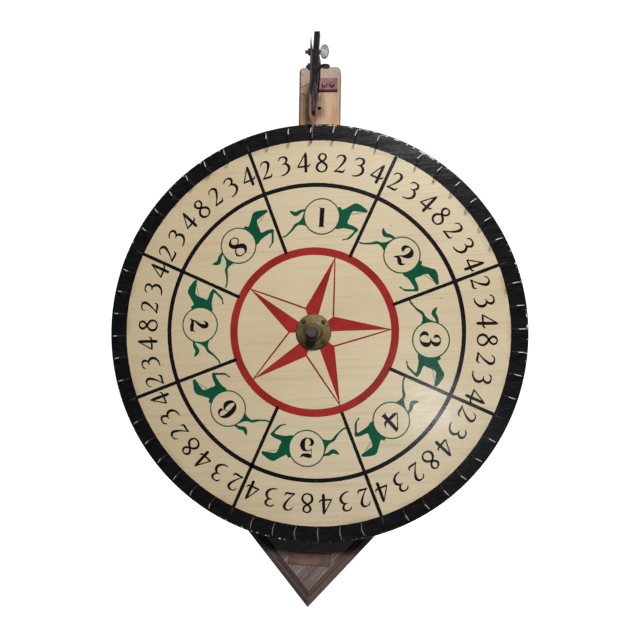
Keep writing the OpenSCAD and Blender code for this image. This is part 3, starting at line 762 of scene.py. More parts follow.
def curve_through(points, steps=7, closed=False):
    """Points on a smooth curve through the given rows of numbers."""
    rows = [tuple(p) for p in points]
    count = len(rows)
    result = []
    for i in range(count if closed else count - 1):
        picks = [i - 1, i, i + 1, i + 2]
        if closed:
            picks = [k % count for k in picks]
        else:
            picks = [min(max(k, 0), count - 1) for k in picks]
        columns = list(zip(*(rows[k] for k in picks)))
        for step in range(steps):
            t = step / steps
            row = []
            for a, b, c, d in columns:
                bent = (2 * a - 5 * b + 4 * c - d) * t * t + (3 * b - a - 3 * c + d) * t ** 3
                row.append(0.5 * (2 * b + (c - a) * t + bent))
            result.append(tuple(row))
    if not closed:
        result.append(rows[-1])
    return result


def out_at(a):
    """Outward direction on the dial at a clockwise angle from the top, as (x, z)."""
    return Vector((math.sin(a), math.cos(a)))


def clockwise(out):
    """The direction on the dial that is a quarter turn clockwise from an outward one, as (x, z)."""
    return Vector((out.y, -out.x))


class Paintwork:
    """Painted shapes on the dial, gathered as thin closed slabs in one mesh."""

    SINK = 0.00004
    LAYER = 0.000006
    LAYERS = 6

    def __init__(self, thickness):
        self.bm = bmesh.new()
        self.front = FACE_Y - thickness
        self.back = FACE_Y + self.SINK
        self.layer = 0

    def next_front(self):
        """Depth of the next slab's face. Each lies a hair higher than the last."""
        self.layer = (self.layer + 1) % self.LAYERS
        return self.front - self.layer * self.LAYER

    def strip(self, left, right, closed=False):
        """A slab between two edges of points (x, z)."""
        front = self.next_front()
        rows = []
        for a, b in zip(left, right):
            corners = ((a, front), (b, front), (b, self.back), (a, self.back))
            rows.append([self.bm.verts.new((p[0], depth, p[1])) for p, depth in corners])
        if closed:
            wall(self.bm, rows + rows[:1])
        else:
            bridge(self.bm, rows)

    def shape(self, outline):
        """A slab inside an outline of points (x, z)."""
        front = self.next_front()
        top = [self.bm.verts.new((p[0], front, p[1])) for p in outline]
        low = [self.bm.verts.new((p[0], self.back, p[1])) for p in outline]
        caps = [self.bm.faces.new(top), self.bm.faces.new(reversed(low))]
        for cap in caps:
            cap.normal_update()
        wall(self.bm, [low, top])
        bmesh.ops.triangulate(self.bm, faces=caps)

    def ring(self, radius, width, centre=(0.0, 0.0), steps=240, wobble=0.0):
        """A ring, with an uneven edge where it is brushed by hand."""
        inner = []
        outer = []
        for a in round_steps(steps):
            drift = wobble * (math.sin(5 * a + 0.7) + 0.6 * math.sin(13 * a + 2.1) + 0.4 * math.sin(31 * a))
            inner.append(Vector(centre) + out_at(a) * (radius - width / 2 + drift * 0.6))
            outer.append(Vector(centre) + out_at(a) * (radius + width / 2 + drift))
        self.strip(outer, inner, closed=True)

    def stroke(self, path, closed=False):
        """A brush stroke along rows of (x, z, half width), with round ends."""
        path = [Vector(p) for p in path]
        if not closed:
            path = self.end_cap(path[0], path[1])[::-1] + path + self.end_cap(path[-1], path[-2])
        count = len(path)
        left = []
        right = []
        for i, point in enumerate(path):
            before = path[i - 1] if closed or i else point
            after = path[(i + 1) % count] if closed or i < count - 1 else point
            way = (after - before).xy.normalized()
            across = Vector((-way.y, way.x)) * point.z
            left.append(point.xy + across)
            right.append(point.xy - across)
        self.strip(left, right, closed)

    @staticmethod
    def end_cap(end, inner):
        """Rows that round off a stroke past its end."""
        way = (end - inner).xy.normalized()
        rows = []
        for reach in (0.45, 0.8, 0.98):
            place = end.xy + way * end.z * reach
            rows.append(Vector((place.x, place.y, end.z * math.sqrt(1 - reach * reach))))
        return rows

    def piece(self, name, material, slot):
        """Turn the shapes into a piece that rides on the wheel."""
        return make_piece(name, self.bm, material, "wheel")


def placed(path, centre, a, scale=MM, weight=1.0):
    """Rows of (right, up), with a half width or without, set on the dial: up is outward at angle a."""
    up = out_at(a)
    right = clockwise(up)
    rows = []
    for u, v, *width in path:
        place = centre + (right * u + up * v) * scale
        rows.append((*place, *(w * scale * weight for w in width)))
    return rows


# Rim numbers as pen strokes, in millimetres from the middle of a cell: rows of (right, up, half width).
PEN_NUMBERS = {
    2: [
        [(-5.2, 5.0, 0.45), (-3.2, 8.6, 0.75), (0.6, 10.2, 0.8), (4.6, 9.4, 1.4), (6.8, 6.4, 1.75),
         (6.2, 2.4, 1.6), (3.2, -3.2, 1.15), (-0.8, -8.6, 0.75), (-5.6, -13.6, 0.6)],
        [(-6.0, -14.2, 0.9), (-2.0, -13.7, 1.15), (3.0, -13.9, 1.35), (6.2, -13.5, 1.15),
         (7.5, -11.6, 0.75), (8.3, -9.4, 0.35)],
    ],
    3: [
        [(-6.4, 6.2, 0.5), (-4.4, 9.2, 0.9), (-0.4, 10.6, 0.85), (4.0, 9.6, 1.3), (5.9, 6.4, 1.55),
         (4.6, 2.6, 1.25), (1.6, 0.4, 0.8), (-1.6, -0.4, 0.5)],
        [(0.4, 0.2, 0.6), (4.4, -0.8, 1.3), (7.2, -4.4, 1.7), (7.0, -9.2, 1.65), (3.6, -13.4, 1.2),
         (-0.8, -15.6, 0.95), (-5.4, -16.3, 0.6)],
    ],
    4: [
        [(5.9, 11.9, 0.9), (5.7, 9.0, 1.65), (5.0, -4.0, 1.85), (4.4, -14.9, 1.85)],
        [(5.4, 11.4, 0.8), (-0.6, 2.2, 0.75), (-6.6, -7.4, 0.85)],
        [(-6.8, -8.1, 0.9), (-2.0, -8.0, 1.15), (5.0, -8.0, 1.1), (9.6, -7.4, 1.0), (11.4, -4.6, 0.4)],
    ],
    8: [
        [(1.0, 10.8, 0.85), (-2.8, 8.6, 1.3), (-3.9, 5.2, 1.45), (-1.8, 1.4, 1.35), (2.4, -1.6, 1.4),
         (7.0, -5.2, 1.5), (8.5, -9.6, 1.3), (6.4, -14.2, 1.05), (1.6, -16.2, 0.9), (-3.8, -14.4, 1.3),
         (-6.2, -9.6, 1.55), (-4.4, -4.6, 1.4), (0.6, -0.9, 1.1), (5.0, 2.4, 1.25), (6.6, 6.2, 1.3),
         (5.0, 9.6, 1.05)],
    ],
}

# Digits of the number discs, thick and thin, in millimetres from the middle of a figure, as rows of
# (right, up, half width).
FAT_DIGITS = {
    1: [
        [(-0.5, 14.3, 0.4), (2.4, 13.6, 0.6)],
        [(0.1, -14.0, 0.45), (4.2, -13.4, 0.8), (8.5, -14.0, 0.45)],
    ],
    2: [
        [(1.8, 6.2, 0.8), (-0.4, 8.0, 2.4), (-1.5, 11.2, 2.6), (0.6, 15.0, 1.7), (5.0, 17.1, 0.7),
         (9.6, 15.6, 2.2), (12.2, 11.6, 3.9), (11.6, 7.0, 3.7), (8.4, 2.8, 2.2), (4.0, -0.8, 0.8),
         (0.4, -4.6, 0.5), (-1.6, -8.6, 0.5)],
        [(-1.6, -8.8, 0.6), (1.2, -5.8, 1.6), (4.4, -4.9, 2.5), (8.0, -6.8, 3.1), (11.4, -8.6, 2.6),
         (14.6, -7.2, 1.5), (17.0, -4.0, 0.5)],
    ],
    3: [
        [(1.0, 5.8, 0.8), (-1.0, 7.4, 2.1), (-1.4, 10.4, 2.1), (1.2, 13.8, 1.0), (4.2, 14.8, 0.6),
         (8.0, 13.4, 1.9), (10.4, 9.6, 3.1), (9.4, 5.2, 2.5), (6.0, 1.8, 1.1), (2.4, 0.2, 0.5)],
        [(2.4, 0.4, 0.5), (6.6, 1.2, 1.2), (10.6, -1.8, 2.9), (11.6, -5.8, 3.4), (9.6, -10.8, 2.3),
         (5.6, -13.8, 0.8), (1.4, -14.2, 0.6), (-2.8, -12.2, 2.0), (-5.0, -8.4, 2.9), (-3.4, -4.4, 2.2),
         (-1.0, -3.2, 0.8)],
    ],
    4: [
        [(6.6, 17.2, 0.9), (-1.2, 8.6, 0.75), (-8.6, 0.2, 0.7)],
        [(-8.6, -0.6, 0.8), (-4.6, -1.8, 2.1), (2.0, -1.6, 2.2), (9.5, -1.8, 2.0), (13.4, -1.2, 1.7),
         (16.0, 1.4, 0.9), (17.8, 4.2, 0.4)],
    ],
    5: [
        [(-1.6, 12.1, 1.9), (1.5, 11.9, 3.2), (6.0, 11.2, 2.7), (10.0, 11.2, 2.0), (13.4, 14.6, 0.6)],
        [(-2.2, 14.4, 0.7), (-2.2, 8.0, 0.55), (-2.3, 2.0, 0.55)],
        [(-2.2, 2.0, 0.5), (1.0, 4.4, 0.7), (4.6, 4.8, 1.0), (8.6, 2.6, 2.6), (10.8, -2.6, 3.6),
         (9.8, -8.6, 3.0), (6.6, -12.6, 1.3), (2.8, -13.6, 0.6), (-1.2, -11.8, 1.8), (-3.4, -8.0, 2.8),
         (-2.2, -4.4, 2.0), (0.2, -3.2, 0.7)],
    ],
    6: [
        [(7.6, 8.4, 0.7), (9.8, 9.6, 2.0), (10.4, 12.6, 2.1), (8.4, 15.8, 1.4), (4.8, 17.6, 0.6),
         (0.6, 15.2, 1.9), (-2.2, 9.4, 3.2), (-2.9, 2.6, 3.5), (-2.2, -4.0, 3.3), (0.2, -9.6, 1.9),
         (3.6, -11.8, 0.7), (7.6, -9.8, 1.9), (10.4, -5.0, 3.0), (10.8, -0.4, 3.2), (8.8, 4.2, 1.9),
         (5.8, 6.2, 0.6), (2.4, 4.6, 0.5), (0.4, 1.6, 0.4)],
    ],
    7: [
        [(-3.2, 13.2, 2.3), (0.5, 13.6, 2.9), (5.5, 13.0, 2.5), (9.6, 13.2, 1.9), (12.8, 16.4, 0.6)],
        [(-5.0, 16.0, 0.6), (-4.8, 12.0, 0.9), (-5.2, 8.0, 0.4)],
        [(12.4, 15.4, 0.6), (9.6, 8.6, 1.2), (5.2, 2.8, 2.2), (2.6, -3.2, 3.2), (3.4, -8.0, 3.2),
         (6.6, -8.8, 2.2), (9.0, -6.4, 1.2), (10.4, -3.8, 0.4)],
    ],
    8: [
        [(10.0, 9.6, 0.9), (7.4, 14.0, 0.8), (3.0, 15.5, 0.7), (-1.6, 13.6, 1.6), (-4.0, 9.4, 2.7),
         (-1.8, 4.6, 3.1), (3.2, 1.2, 3.1), (8.0, -2.2, 3.4), (9.8, -6.2, 3.2), (7.0, -11.4, 1.7),
         (2.2, -13.1, 0.7), (-3.4, -11.8, 1.0), (-6.6, -7.2, 1.3), (-4.4, -1.8, 1.0), (1.2, 2.2, 0.9),
         (7.0, 5.4, 0.9)],
    ],
}
# Straight stems of the digits, as corners.
DIGIT_STEMS = {
    1: [[(1.3, 13.9), (8.0, 13.9), (7.4, -13.9), (0.9, -13.9)]],
    4: [
        [(5.2, 17.0), (10.6, 18.6), (10.3, -10.8), (4.6, -10.8)],
        [(4.6, -10.3), (10.3, -10.3), (11.5, -12.2), (1.2, -12.2)],
    ],
}
CLOSED_DIGITS = (8,)

# A running horse behind a number disc, in millimetres from the middle of a figure. It runs to the right.
HORSE = [
    [(27.5, 15.2), (31.5, 15.7), (34.0, 12.2), (40.0, 15.0), (47.5, 19.4), (52.0, 21.8), (58.0, 20.7),
     (65.4, 16.0), (70.4, 11.8), (69.2, 8.4), (63.6, 9.3), (56.4, 9.8), (50.4, 10.2), (46.4, 5.6),
     (44.6, -0.5), (42.0, -6.6), (45.0, -9.2), (52.0, -11.6), (58.3, -16.6), (54.0, -22.0), (46.0, -30.4),
     (40.5, -31.8), (36.4, -33.0), (36.4, -30.9), (42.0, -29.6), (48.0, -24.0), (52.2, -18.4),
     (46.0, -16.4), (36.0, -15.1), (27.0, -16.5), (20.0, -12.0), (18.0, 0.0), (20.0, 12.0)],
    [(-18.0, 9.0), (-22.4, 5.0), (-24.6, -1.5), (-29.0, -7.4), (-35.4, -11.5), (-40.2, -19.6),
     (-46.6, -26.8), (-51.4, -29.8), (-51.2, -31.8), (-45.6, -29.0), (-36.4, -19.8), (-31.0, -13.2),
     (-24.0, -11.9), (-17.0, -12.4), (-12.0, 0.0)],
    [(-18.0, 11.6), (-24.0, 11.1), (-29.0, 9.9), (-34.0, 7.1), (-38.0, 7.6), (-42.8, 8.4), (-41.0, 4.4),
     (-36.4, 1.0), (-31.6, 1.2), (-26.2, 5.7), (-21.0, 8.0), (-17.0, 9.0)],
]
REIN = [(46.2, 5.0, 0.35), (56.0, 7.2, 0.3), (66.0, 9.4, 0.3)]

# Where the lines between the fields stray clockwise from their rays, in millimetres: inner and outer end.
LINE_STRAY = ((2, 2), (2.5, 3), (3, 2.5), (2, -1), (2, 0), (2, 0), (1.5, 0), (0.5, -1))

FIELD_NUMBERS = (2, 3, 4, 8, 2, 3, 4)


def field_angle(sizes, index):
    """Clockwise angle of the middle of a field."""
    return sizes.turn + index * 2 * math.pi / sizes.fields


def by_hand(sizes, a):
    """A clockwise angle as it is laid out by hand, straying a little on one side of the dial."""
    return a + sizes.hand_turn * math.cos(a - sizes.hand_at)


class WHEEL_OT_dial_board(Operator):
    """Paint the dial board: cream ground, black rim band and bare back"""

    bl_idname = "wheel.dial_board"
    bl_label = "Dial Board"

    def execute(self, context):
        scene = context.scene
        material = dial_board_finish(scene.wheel_paints, scene.wheel_woods, scene.wheel_dial)
        coat(material, "wheel_disc")
        return {"FINISHED"}


class WHEEL_OT_dial_lines(Operator):
    """Paint the thin black ring, the lines between the fields and the marks left on the band"""

    bl_idname = "wheel.dial_lines"
    bl_label = "Dial Lines"

    LINE_STEPS = 14
    OVERLAP = 0.0008
    BAND_OVERLAP = 0.0006
    MARK_START = 0.0008
    MARK_REACH = 0.0120
    MARK_STRAY = 0.0006

    def execute(self, context):
        sizes = context.scene.wheel_dial
        paints = context.scene.wheel_paints
        work = Paintwork(sizes.paint)
        work.ring(sizes.black_r, sizes.black_w, wobble=0.00012)
        inner = sizes.red_r + sizes.red_w / 2 - self.OVERLAP
        outer = sizes.band_r + self.BAND_OVERLAP
        marks = Paintwork(sizes.paint)
        for k, (near, far) in enumerate(LINE_STRAY):
            way = out_at(field_angle(sizes, k - 0.5))
            path = []
            for i in range(self.LINE_STEPS + 1):
                share = i / self.LINE_STEPS
                half = sizes.line_w / 2 * (1 + 0.05 * math.sin(1.9 * i + 2.3 * k))
                end = way * (inner + (outer - inner) * share)
                end += clockwise(way) * (near + (far - near) * share) * MM
                path.append((*end, half))
            work.stroke(path)
            way = end.normalized()
            side = clockwise(way) * self.MARK_STRAY * math.sin(2.0 + 1.7 * k)
            foot = end + way * self.MARK_START
            head = end + way * self.MARK_REACH + side
            middle = (foot + head) / 2 + side * 0.4
            marks.stroke([(*foot, 0.0010), (*middle, 0.0008), (*head, 0.0003)])
        work.piece("dial_lines", sign_paint_finish("line_black", paints.black, paints, 0.35), "dial_board")
        bare = sign_paint_finish("bare_mark", darker(paints.tan, 0.12), paints, 0.2)
        marks.piece("band_marks", bare, "dial_board")
        return {"FINISHED"}


class WHEEL_OT_star(Operator):
    """Paint the red ring and the five-pointed star, each point half solid and half in outline"""

    bl_idname = "wheel.star"
    bl_label = "Star"

    POINTS = 5

    def execute(self, context):
        sizes = context.scene.wheel_dial
        paints = context.scene.wheel_paints
        work = Paintwork(sizes.paint)
        outline = Paintwork(sizes.paint)
        work.ring(sizes.red_r, sizes.red_w, wobble=0.00008)
        half = math.pi / self.POINTS
        line = sizes.star_line / 2
        for k in range(self.POINTS):
            a = sizes.star_turn + 2 * half * k
            tip = out_at(a) * sizes.star_tip
            solid_notch = out_at(a - half) * sizes.star_notch
            open_notch = out_at(a + half) * sizes.star_notch
            work.shape([tip, solid_notch, Vector((0.0, 0.0))])
            start = out_at(a) * (sizes.star_tip - 0.0015)
            outline.stroke([(*start, line * 0.7), (*((tip + open_notch) / 2), line), (*open_notch, line)])
        work.piece("dial_star", sign_paint_finish("star_red", paints.red, paints, 0.12), "dial_board")
        deep = sign_paint_finish("outline_red", darker(paints.red, 0.72), paints, 0.12)
        outline.piece("star_outline", deep, "dial_board")
        return {"FINISHED"}


class WHEEL_OT_rim_numbers(Operator):
    """Letter the numbers of every cell with a broad pen, tops outward"""

    bl_idname = "wheel.rim_numbers"
    bl_label = "Rim Numbers"

    def execute(self, context):
        sizes = context.scene.wheel_dial
        paints = context.scene.wheel_paints
        hand = random.Random(11)
        work = Paintwork(sizes.paint)
        cell = 2 * math.pi / sizes.fields / sizes.cells
        for field in range(sizes.fields):
            for index, number in enumerate(FIELD_NUMBERS):
                a = by_hand(sizes, field_angle(sizes, field - 0.5) + (index + 0.5) * cell)
                tilt = math.radians(hand.uniform(-1.0, 1.0))
                scale = MM * hand.uniform(0.985, 1.015)
                centre = out_at(a) * (sizes.number_r + hand.uniform(-0.0004, 0.0004))
                if index > sizes.cells // 2:
                    centre -= clockwise(centre).normalized() * sizes.second_run
                closed = number in CLOSED_DIGITS
                for points in PEN_NUMBERS[number]:
                    row = placed(curve_through(points, 6, closed), centre, a + tilt, scale, sizes.pen)
                    work.stroke(row, closed)
        work.piece("rim_numbers", sign_paint_finish("number_black", paints.black, paints, 0.15), "dial_board")
        return {"FINISHED"}


class WHEEL_OT_racing_figures(Operator):
    """Paint a running horse behind a numbered disc in each field"""

    bl_idname = "wheel.racing_figures"
    bl_label = "Racing Figures"

    def execute(self, context):
        scene = context.scene
        sizes = scene.wheel_dial
        paints = scene.wheel_paints
        figures = Paintwork(sizes.paint)
        grounds = Paintwork(sizes.paint * 1.9)
        rings = Paintwork(sizes.paint * 2.2)
        digits = Paintwork(sizes.paint * 2.5)
        for field in range(sizes.fields):
            a = by_hand(sizes, field_angle(sizes, field))
            origin = out_at(a) * sizes.figure_r
            for points in HORSE:
                figures.shape(placed(curve_through(points, 6, True), origin, a))
            figures.stroke(placed(curve_through(REIN), origin, a))
            centre = Vector(placed([(sizes.disc_side / MM, sizes.disc_out / MM)], origin, a)[0][:2])
            grounds.shape([centre + out_at(turn) * (sizes.disc_r - 0.0003) for turn in round_steps(72)])
            rings.ring(sizes.disc_r, sizes.disc_line, centre, 96, 0.00006)
            number = field + 1
            closed = number in CLOSED_DIGITS
            for points in FAT_DIGITS[number]:
                digits.stroke(placed(curve_through(points, 7, closed), origin, a), closed)
            for corners in DIGIT_STEMS.get(number, ()):
                digits.shape(placed(corners, origin, a))
        green = sign_paint_finish("figure_green", paints.green, paints, 0.12)
        figures.piece("racing_figures", green, "dial_board")
        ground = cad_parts["wheel_disc"].material_slots[0].material
        grounds.piece("number_discs", ground, "dial_board")
        rings.piece("disc_rings", green, "dial_board")
        black = sign_paint_finish("digit_black", paints.black, paints, 0.10)
        digits.piece("disc_digits", black, "dial_board")
        return {"FINISHED"}


def sweep(bm, path, radius, sides, binormal):
    """A closed round wire along points. The binormal keeps its sides from twisting."""
    rings = []
    for before, point, after in zip(path[:1] + path, path, path[1:] + path[-1:]):
        way = (after - before).normalized()
        first = binormal.cross(way).normalized()
        second = way.cross(first)
        ring = []
        for a in round_steps(sides):
            ring.append(bm.verts.new(point + (first * math.cos(a) + second * math.sin(a)) * radius))
        rings.append(ring)
    bridge(bm, rings)


class WHEEL_OT_rim_staples(Operator):
    """Bend the wire staples of the rim: an upright inner leg, a round crown and a sloping outer leg"""

    bl_idname = "wheel.rim_staples"
    bl_label = "Rim Staples"

    SIDES = 10
    BENDS = 6
    STRAY = 0.0007

    def execute(self, context):
        scene = context.scene
        sizes = scene.wheel_dial
        wire = scene.wheel_staples
        hand = random.Random(5)
        bm = bmesh.new()
        front = Vector((0.0, -1.0, 0.0))
        cell = 2 * math.pi / sizes.fields / sizes.cells
        rows = self.bent_wire(wire)
        for field in range(sizes.fields):
            for index in range(1, sizes.cells):
                flat = out_at(by_hand(sizes, field_angle(sizes, field - 0.5) + index * cell))
                out = Vector((flat.x, 0.0, flat.y))
                side = Vector((flat.y, 0.0, -flat.x))
                root = out * (sizes.band_r + wire.inset) + Vector((0.0, FACE_Y, 0.0))
                lean = hand.uniform(-self.STRAY, self.STRAY)
                path = []
                for u, v in rows:
                    sway = lean * max(v, 0.0) / wire.rise
                    path.append(root + out * u + front * v + side * sway)
                sweep(bm, path, wire.wire_r, self.SIDES, side)
        material = wire_finish(scene.wheel_metals, sizes)
        piece = make_piece("rim_wires", bm, material, "wheel", smooth=True)
        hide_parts("rim_staples")
        return {"FINISHED"}

    def bent_wire(self, wire):
        """Rows of (outward, height over the dial) along a staple. Both of its legs end inside the board."""
        rise = wire.rise - wire.bend
        rows = [(0.0, -0.002), (0.0, 0.001), (0.0, rise * 0.35), (0.0, rise * 0.7), (0.0, rise)]
        for i in range(1, self.BENDS + 1):
            t = math.pi - (math.pi - wire.lean) * i / self.BENDS
            rows.append((wire.bend * (1 + math.cos(t)), rise + wire.bend * math.sin(t)))
        reach, height = rows[-1]
        for share in (0.35, 0.7, 1.0):
            drop = (height + 0.0015) * share
            rows.append((reach + drop * math.tan(wire.lean), height - drop))
        return rows


class WHEEL_OT_hub(Operator):
    """Finish the brass hub flange, its screws, the axle and the hub parts behind the dial"""

    bl_idname = "wheel.hub"
    bl_label = "Hub"

    def execute(self, context):
        metals = context.scene.wheel_metals
        # The brass flange gets painted shade low on its left and a painted highlight at its upper right.
        coat(turned_finish("brass", metals.brass, metals.patina, 0.4, 0.40, 0.3, 6.0), "front_hub_flange")
        clean = darker(metals.brass, 0.5)
        worn = darker(metals.patina, 0.7)
        screw = worn_metal_finish("brass_screw", clean, worn, 240.0, (0.50, 0.66), 0.3, shine=0.2)
        coat(screw, "front_hub_screws")
        axle = turned_finish("axle_steel", metals.axle, darker(metals.axle, 0.45), 1.0, 0.36, 0.5)
        coat(axle, "axle", "shaft_collar")
        dark = worn_metal_finish("hub_dark_steel", darker(metals.axle, 0.8), darker(metals.rust, 0.6), 60.0)
        coat(dark, "rear_hub_plate", "hub_set_screw", "collar_set_screw")
        coat(screw_finish("hub_screw_steel", metals), "rear_hub_screws")
        return {"FINISHED"}


class WHEEL_OT_bearing(Operator):
    """Finish the bearing behind the dial: iron flange, bronze bush and washer, and screws"""

    bl_idname = "wheel.bearing"
    bl_label = "Bearing"

    def execute(self, context):
        metals = context.scene.wheel_metals
        black_iron = (0.030, 0.029, 0.029)
        iron = worn_metal_finish(
            "cast_iron", black_iron, darker(metals.rust, 0.5), 40.0, (0.50, 0.72), 0.55, (0.50, 0.75)
        )
        coat(iron, "bearing_flange")
        clean_bronze = (0.38, 0.20, 0.075)
        dull_bronze = (0.17, 0.085, 0.032)
        bronze = turned_finish("bronze", clean_bronze, dull_bronze, 0.5, 0.28)
        coat(bronze, "bearing_bush", "thrust_washer")
        coat(screw_finish("screw_steel", metals), "bearing_screws", "panel_screws")
        return {"FINISHED"}


class WHEEL_OT_back_boards(Operator):
    """Finish the pine upright, the dark panel with its mouldings, and the bare label plate"""

    bl_idname = "wheel.back_boards"
    bl_label = "Back Boards"

    def execute(self, context):
        woods = context.scene.wheel_woods
        coat(pine_finish(woods), "upright")
        right = -(PANEL_EDGE + PANEL_TURN)
        left = PANEL_EDGE - PANEL_TURN
        coat(stained_wood_finish("panel_wood", woods.stain, right, 0.8), "back_panel")
        warm = stained_wood_finish("moulding_wood_right", woods.moulding, right, 1.2, 0.25)
        coat(warm, "moulding_low_right", "moulding_top_left")
        cool = stained_wood_finish("moulding_wood_left", darker(woods.moulding, 0.55), left, 1.2, 0.25)
        coat(cool, "moulding_low_left", "moulding_top_right")
        coat(label_finish(woods), "label_plate")
        return {"FINISHED"}


class WHEEL_OT_bracket(Operator):
    """Finish the angle bracket and its two screws"""

    bl_idname = "wheel.bracket"
    bl_label = "Bracket"

    def execute(self, context):
        metals = context.scene.wheel_metals
        coat(bracket_finish(context.scene.wheel_paints, metals), "angle_bracket")
        clean = darker(metals.steel, 0.55)
        worn = darker(metals.steel, 0.2)
        coat(worn_metal_finish("bracket_screw_steel", clean, worn, 300.0, metallic=0.4), "bracket_screws")
        return {"FINISHED"}


class WHEEL_OT_clapper(Operator):
    """Finish the clapper bar and its nuts"""

    bl_idname = "wheel.clapper"
    bl_label = "Clapper Bar"

    def execute(self, context):
        metals = context.scene.wheel_metals
        coat(bar_finish(), "clapper_bar")
        clean = darker(metals.dark_steel, 0.4)
        worn = darker(metals.dark_steel, 0.2)
        nut = worn_metal_finish("nut_steel", clean, worn, 220.0, (0.45, 0.62), 0.25, shine=0.15)
        coat(nut, "clamp_nut", "pivot_nut")
        return {"FINISHED"}


class WHEEL_OT_leather(Operator):
    """Shape the leather tongue: a strip along the bar that twists and narrows to a point below it"""

    bl_idname = "wheel.leather"
    bl_label = "Leather Tongue"

    AROUND = 24
    CORNER = 0.45

    def execute(self, context):
        top = TONGUE_HIGH.z / MM
        tip = TONGUE_LOW.z / MM
        low = BAR_LOW.z / MM
        mid_y = (BAR_LOW.y + BAR_HIGH.y) / 2
        x = BAR_LOW.x / MM - 2.1
        # In millimetres: height, middle, half thickness, half width, twist in degrees, place behind the bar.
        sections = [
            (top, x - 1.5, 0.4, 1.6, 0, 0),
            (top - 9, x - 0.9, 1.0, 5.5, 0, 0),
            (top - 17, x - 0.15, 1.8, 7.4, 0, 0),
            (top - 24, x, 1.9, 7.4, 0, 0),
            (low + 60, x, 1.9, 7.4, 0, 0),
            (low + 44, x, 1.9, 7.4, 0, 0),
            (low + 35, x + 0.3, 1.9, 7.4, 12, 1.4),
            (low + 25, x + 1.3, 1.9, 7.4, 28, 3.4),
            (low + 14, x + 2.4, 1.9, 7.4, 42, 4.7),
            (low + 4, x + 2.9, 1.9, 7.4, 50, 5),
            (low - 3, x + 2.9, 1.9, 7.3, 46, 3.8),
            (low - 11, x + 2.7, 1.7, 4.8, 40, 3),
            (low - 15, x + 2.9, 1.4, 3.1, 40, 3),
            (low - 19.4, x + 3.2, 1.1, 1.55, 40, 3),
            (low - 24, x + 2.7, 0.75, 1.0, 40, 3),
            (tip, x + 2.3, 0.4, 0.4, 40, 3),
        ]
        bm = bmesh.new()
        rings = []
        for index, (z, mid, thick, wide, twist, back) in enumerate(curve_through(sections, 5)):
            turn = math.radians(twist)
            ripple = 1 + 0.012 * math.sin(index * 1.3) + 0.008 * math.sin(index * 3.1 + 1)
            ring = []
            for t in round_steps(self.AROUND):
                a = self.squared(math.cos(t)) * thick
                b = self.squared(math.sin(t)) * wide * ripple
                px = mid + a * math.cos(turn) + b * math.sin(turn)
                py = back - a * math.sin(turn) + b * math.cos(turn)
                ring.append(bm.verts.new((px * MM, mid_y + py * MM, z * MM)))
            rings.append(ring)
        bridge(bm, rings)
        material = leather_finish(context.scene.wheel_metals)
        piece = make_piece("leather_strip", bm, material, None, smooth=True)
        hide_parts("leather_tongue")
        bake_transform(piece)
        return {"FINISHED"}

    def squared(self, value):
        """A sine or cosine pushed outward, which makes a round section nearly square."""
        return math.copysign(abs(value) ** self.CORNER, value)


def thumb_screw(node, wide_collar, turn):
    """A thumb screw along X: threaded tail, collar, neck and an oval ribbed head."""
    low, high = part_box(node)
    centre = (low + high) / 2
    tail = low.x / MM
    end = high.x / MM
    collar = end - 2 * HEAD_WIDE - 1.8
    shank, root, crest = 2.45, 2.2, 2.48
    pitch, threads = 0.8, 6
    profile = [(tail, 1.6), (tail + 0.5, root)]
    for i in range(threads):
        start = tail + 0.6 + i * pitch
        profile += [(start, root), (start + pitch * 0.35, crest), (start + pitch * 0.6, crest)]
    profile += [(tail + 0.8 + threads * pitch, shank), (collar - 0.05, shank), (collar, wide_collar - 0.4)]
    profile += [(collar + 0.3, wide_collar), (collar + 1.2, wide_collar), (collar + 1.5, wide_collar - 0.4)]
    profile += [(collar + 2.0, 2.7), (collar + 3.5, 2.1), (collar + 5.5, 1.3)]
    bm = bmesh.new()
    rings = []
    for x, r in profile:
        rings.append([bm.verts.new((x, r * math.cos(t), r * math.sin(t))) for t in round_steps(28)])
    bridge(bm, rings)
    for side in (-1, 1):
        head_half(bm, end - HEAD_WIDE, side)
    bmesh.ops.remove_doubles(bm, verts=bm.verts, dist=0.002)
    bmesh.ops.rotate(bm, verts=bm.verts, cent=(0, 0, 0), matrix=Matrix.Rotation(math.radians(turn), 3, "X"))
    bmesh.ops.scale(bm, verts=bm.verts, vec=(MM, MM, MM))
    bmesh.ops.translate(bm, verts=bm.verts, vec=(0.0, centre.y, centre.z))
    return bm


def head_half(bm, head_x, side, levels=22, around=96):
    """One half of a thumb screw's head, in rings from its middle to its edge."""
    rings = []
    for j in range(1, levels + 1):
        rho = math.sin(math.pi / 2 * j / levels)
        ring = []
        for t in round_steps(around):
            u = HEAD_WIDE * rho * math.cos(t)
            v = HEAD_TALL * rho * math.sin(t)
            ring.append(bm.verts.new((head_x + u, side * head_height(rho, u), v)))
        rings.append(ring)
    wall(bm, rings)
    middle = bm.verts.new((head_x, side * head_height(0.0, 0.0), 0.0))
    for k in range(around):
        bm.faces.new((middle, rings[0][k], rings[0][(k + 1) % around]))


def head_height(rho, u):
    """Half thickness of a thumb screw head, in millimetres: ribbed web inside a raised rim."""
    rim, rim_start = 1.45, 0.88
    if rho >= 1.0:
        return 0.0
    if rho > rim_start:
        return rim * math.sqrt(max(0.0, 1 - ((rho - rim_start) / (1 - rim_start)) ** 2))
    web = 0.85 + 0.34 * (0.5 + 0.5 * math.cos(2 * math.pi * u / 1.75))
    blend = min(1.0, max(0.0, (rho - 0.78) / 0.08))
    return web + (rim - web) * blend


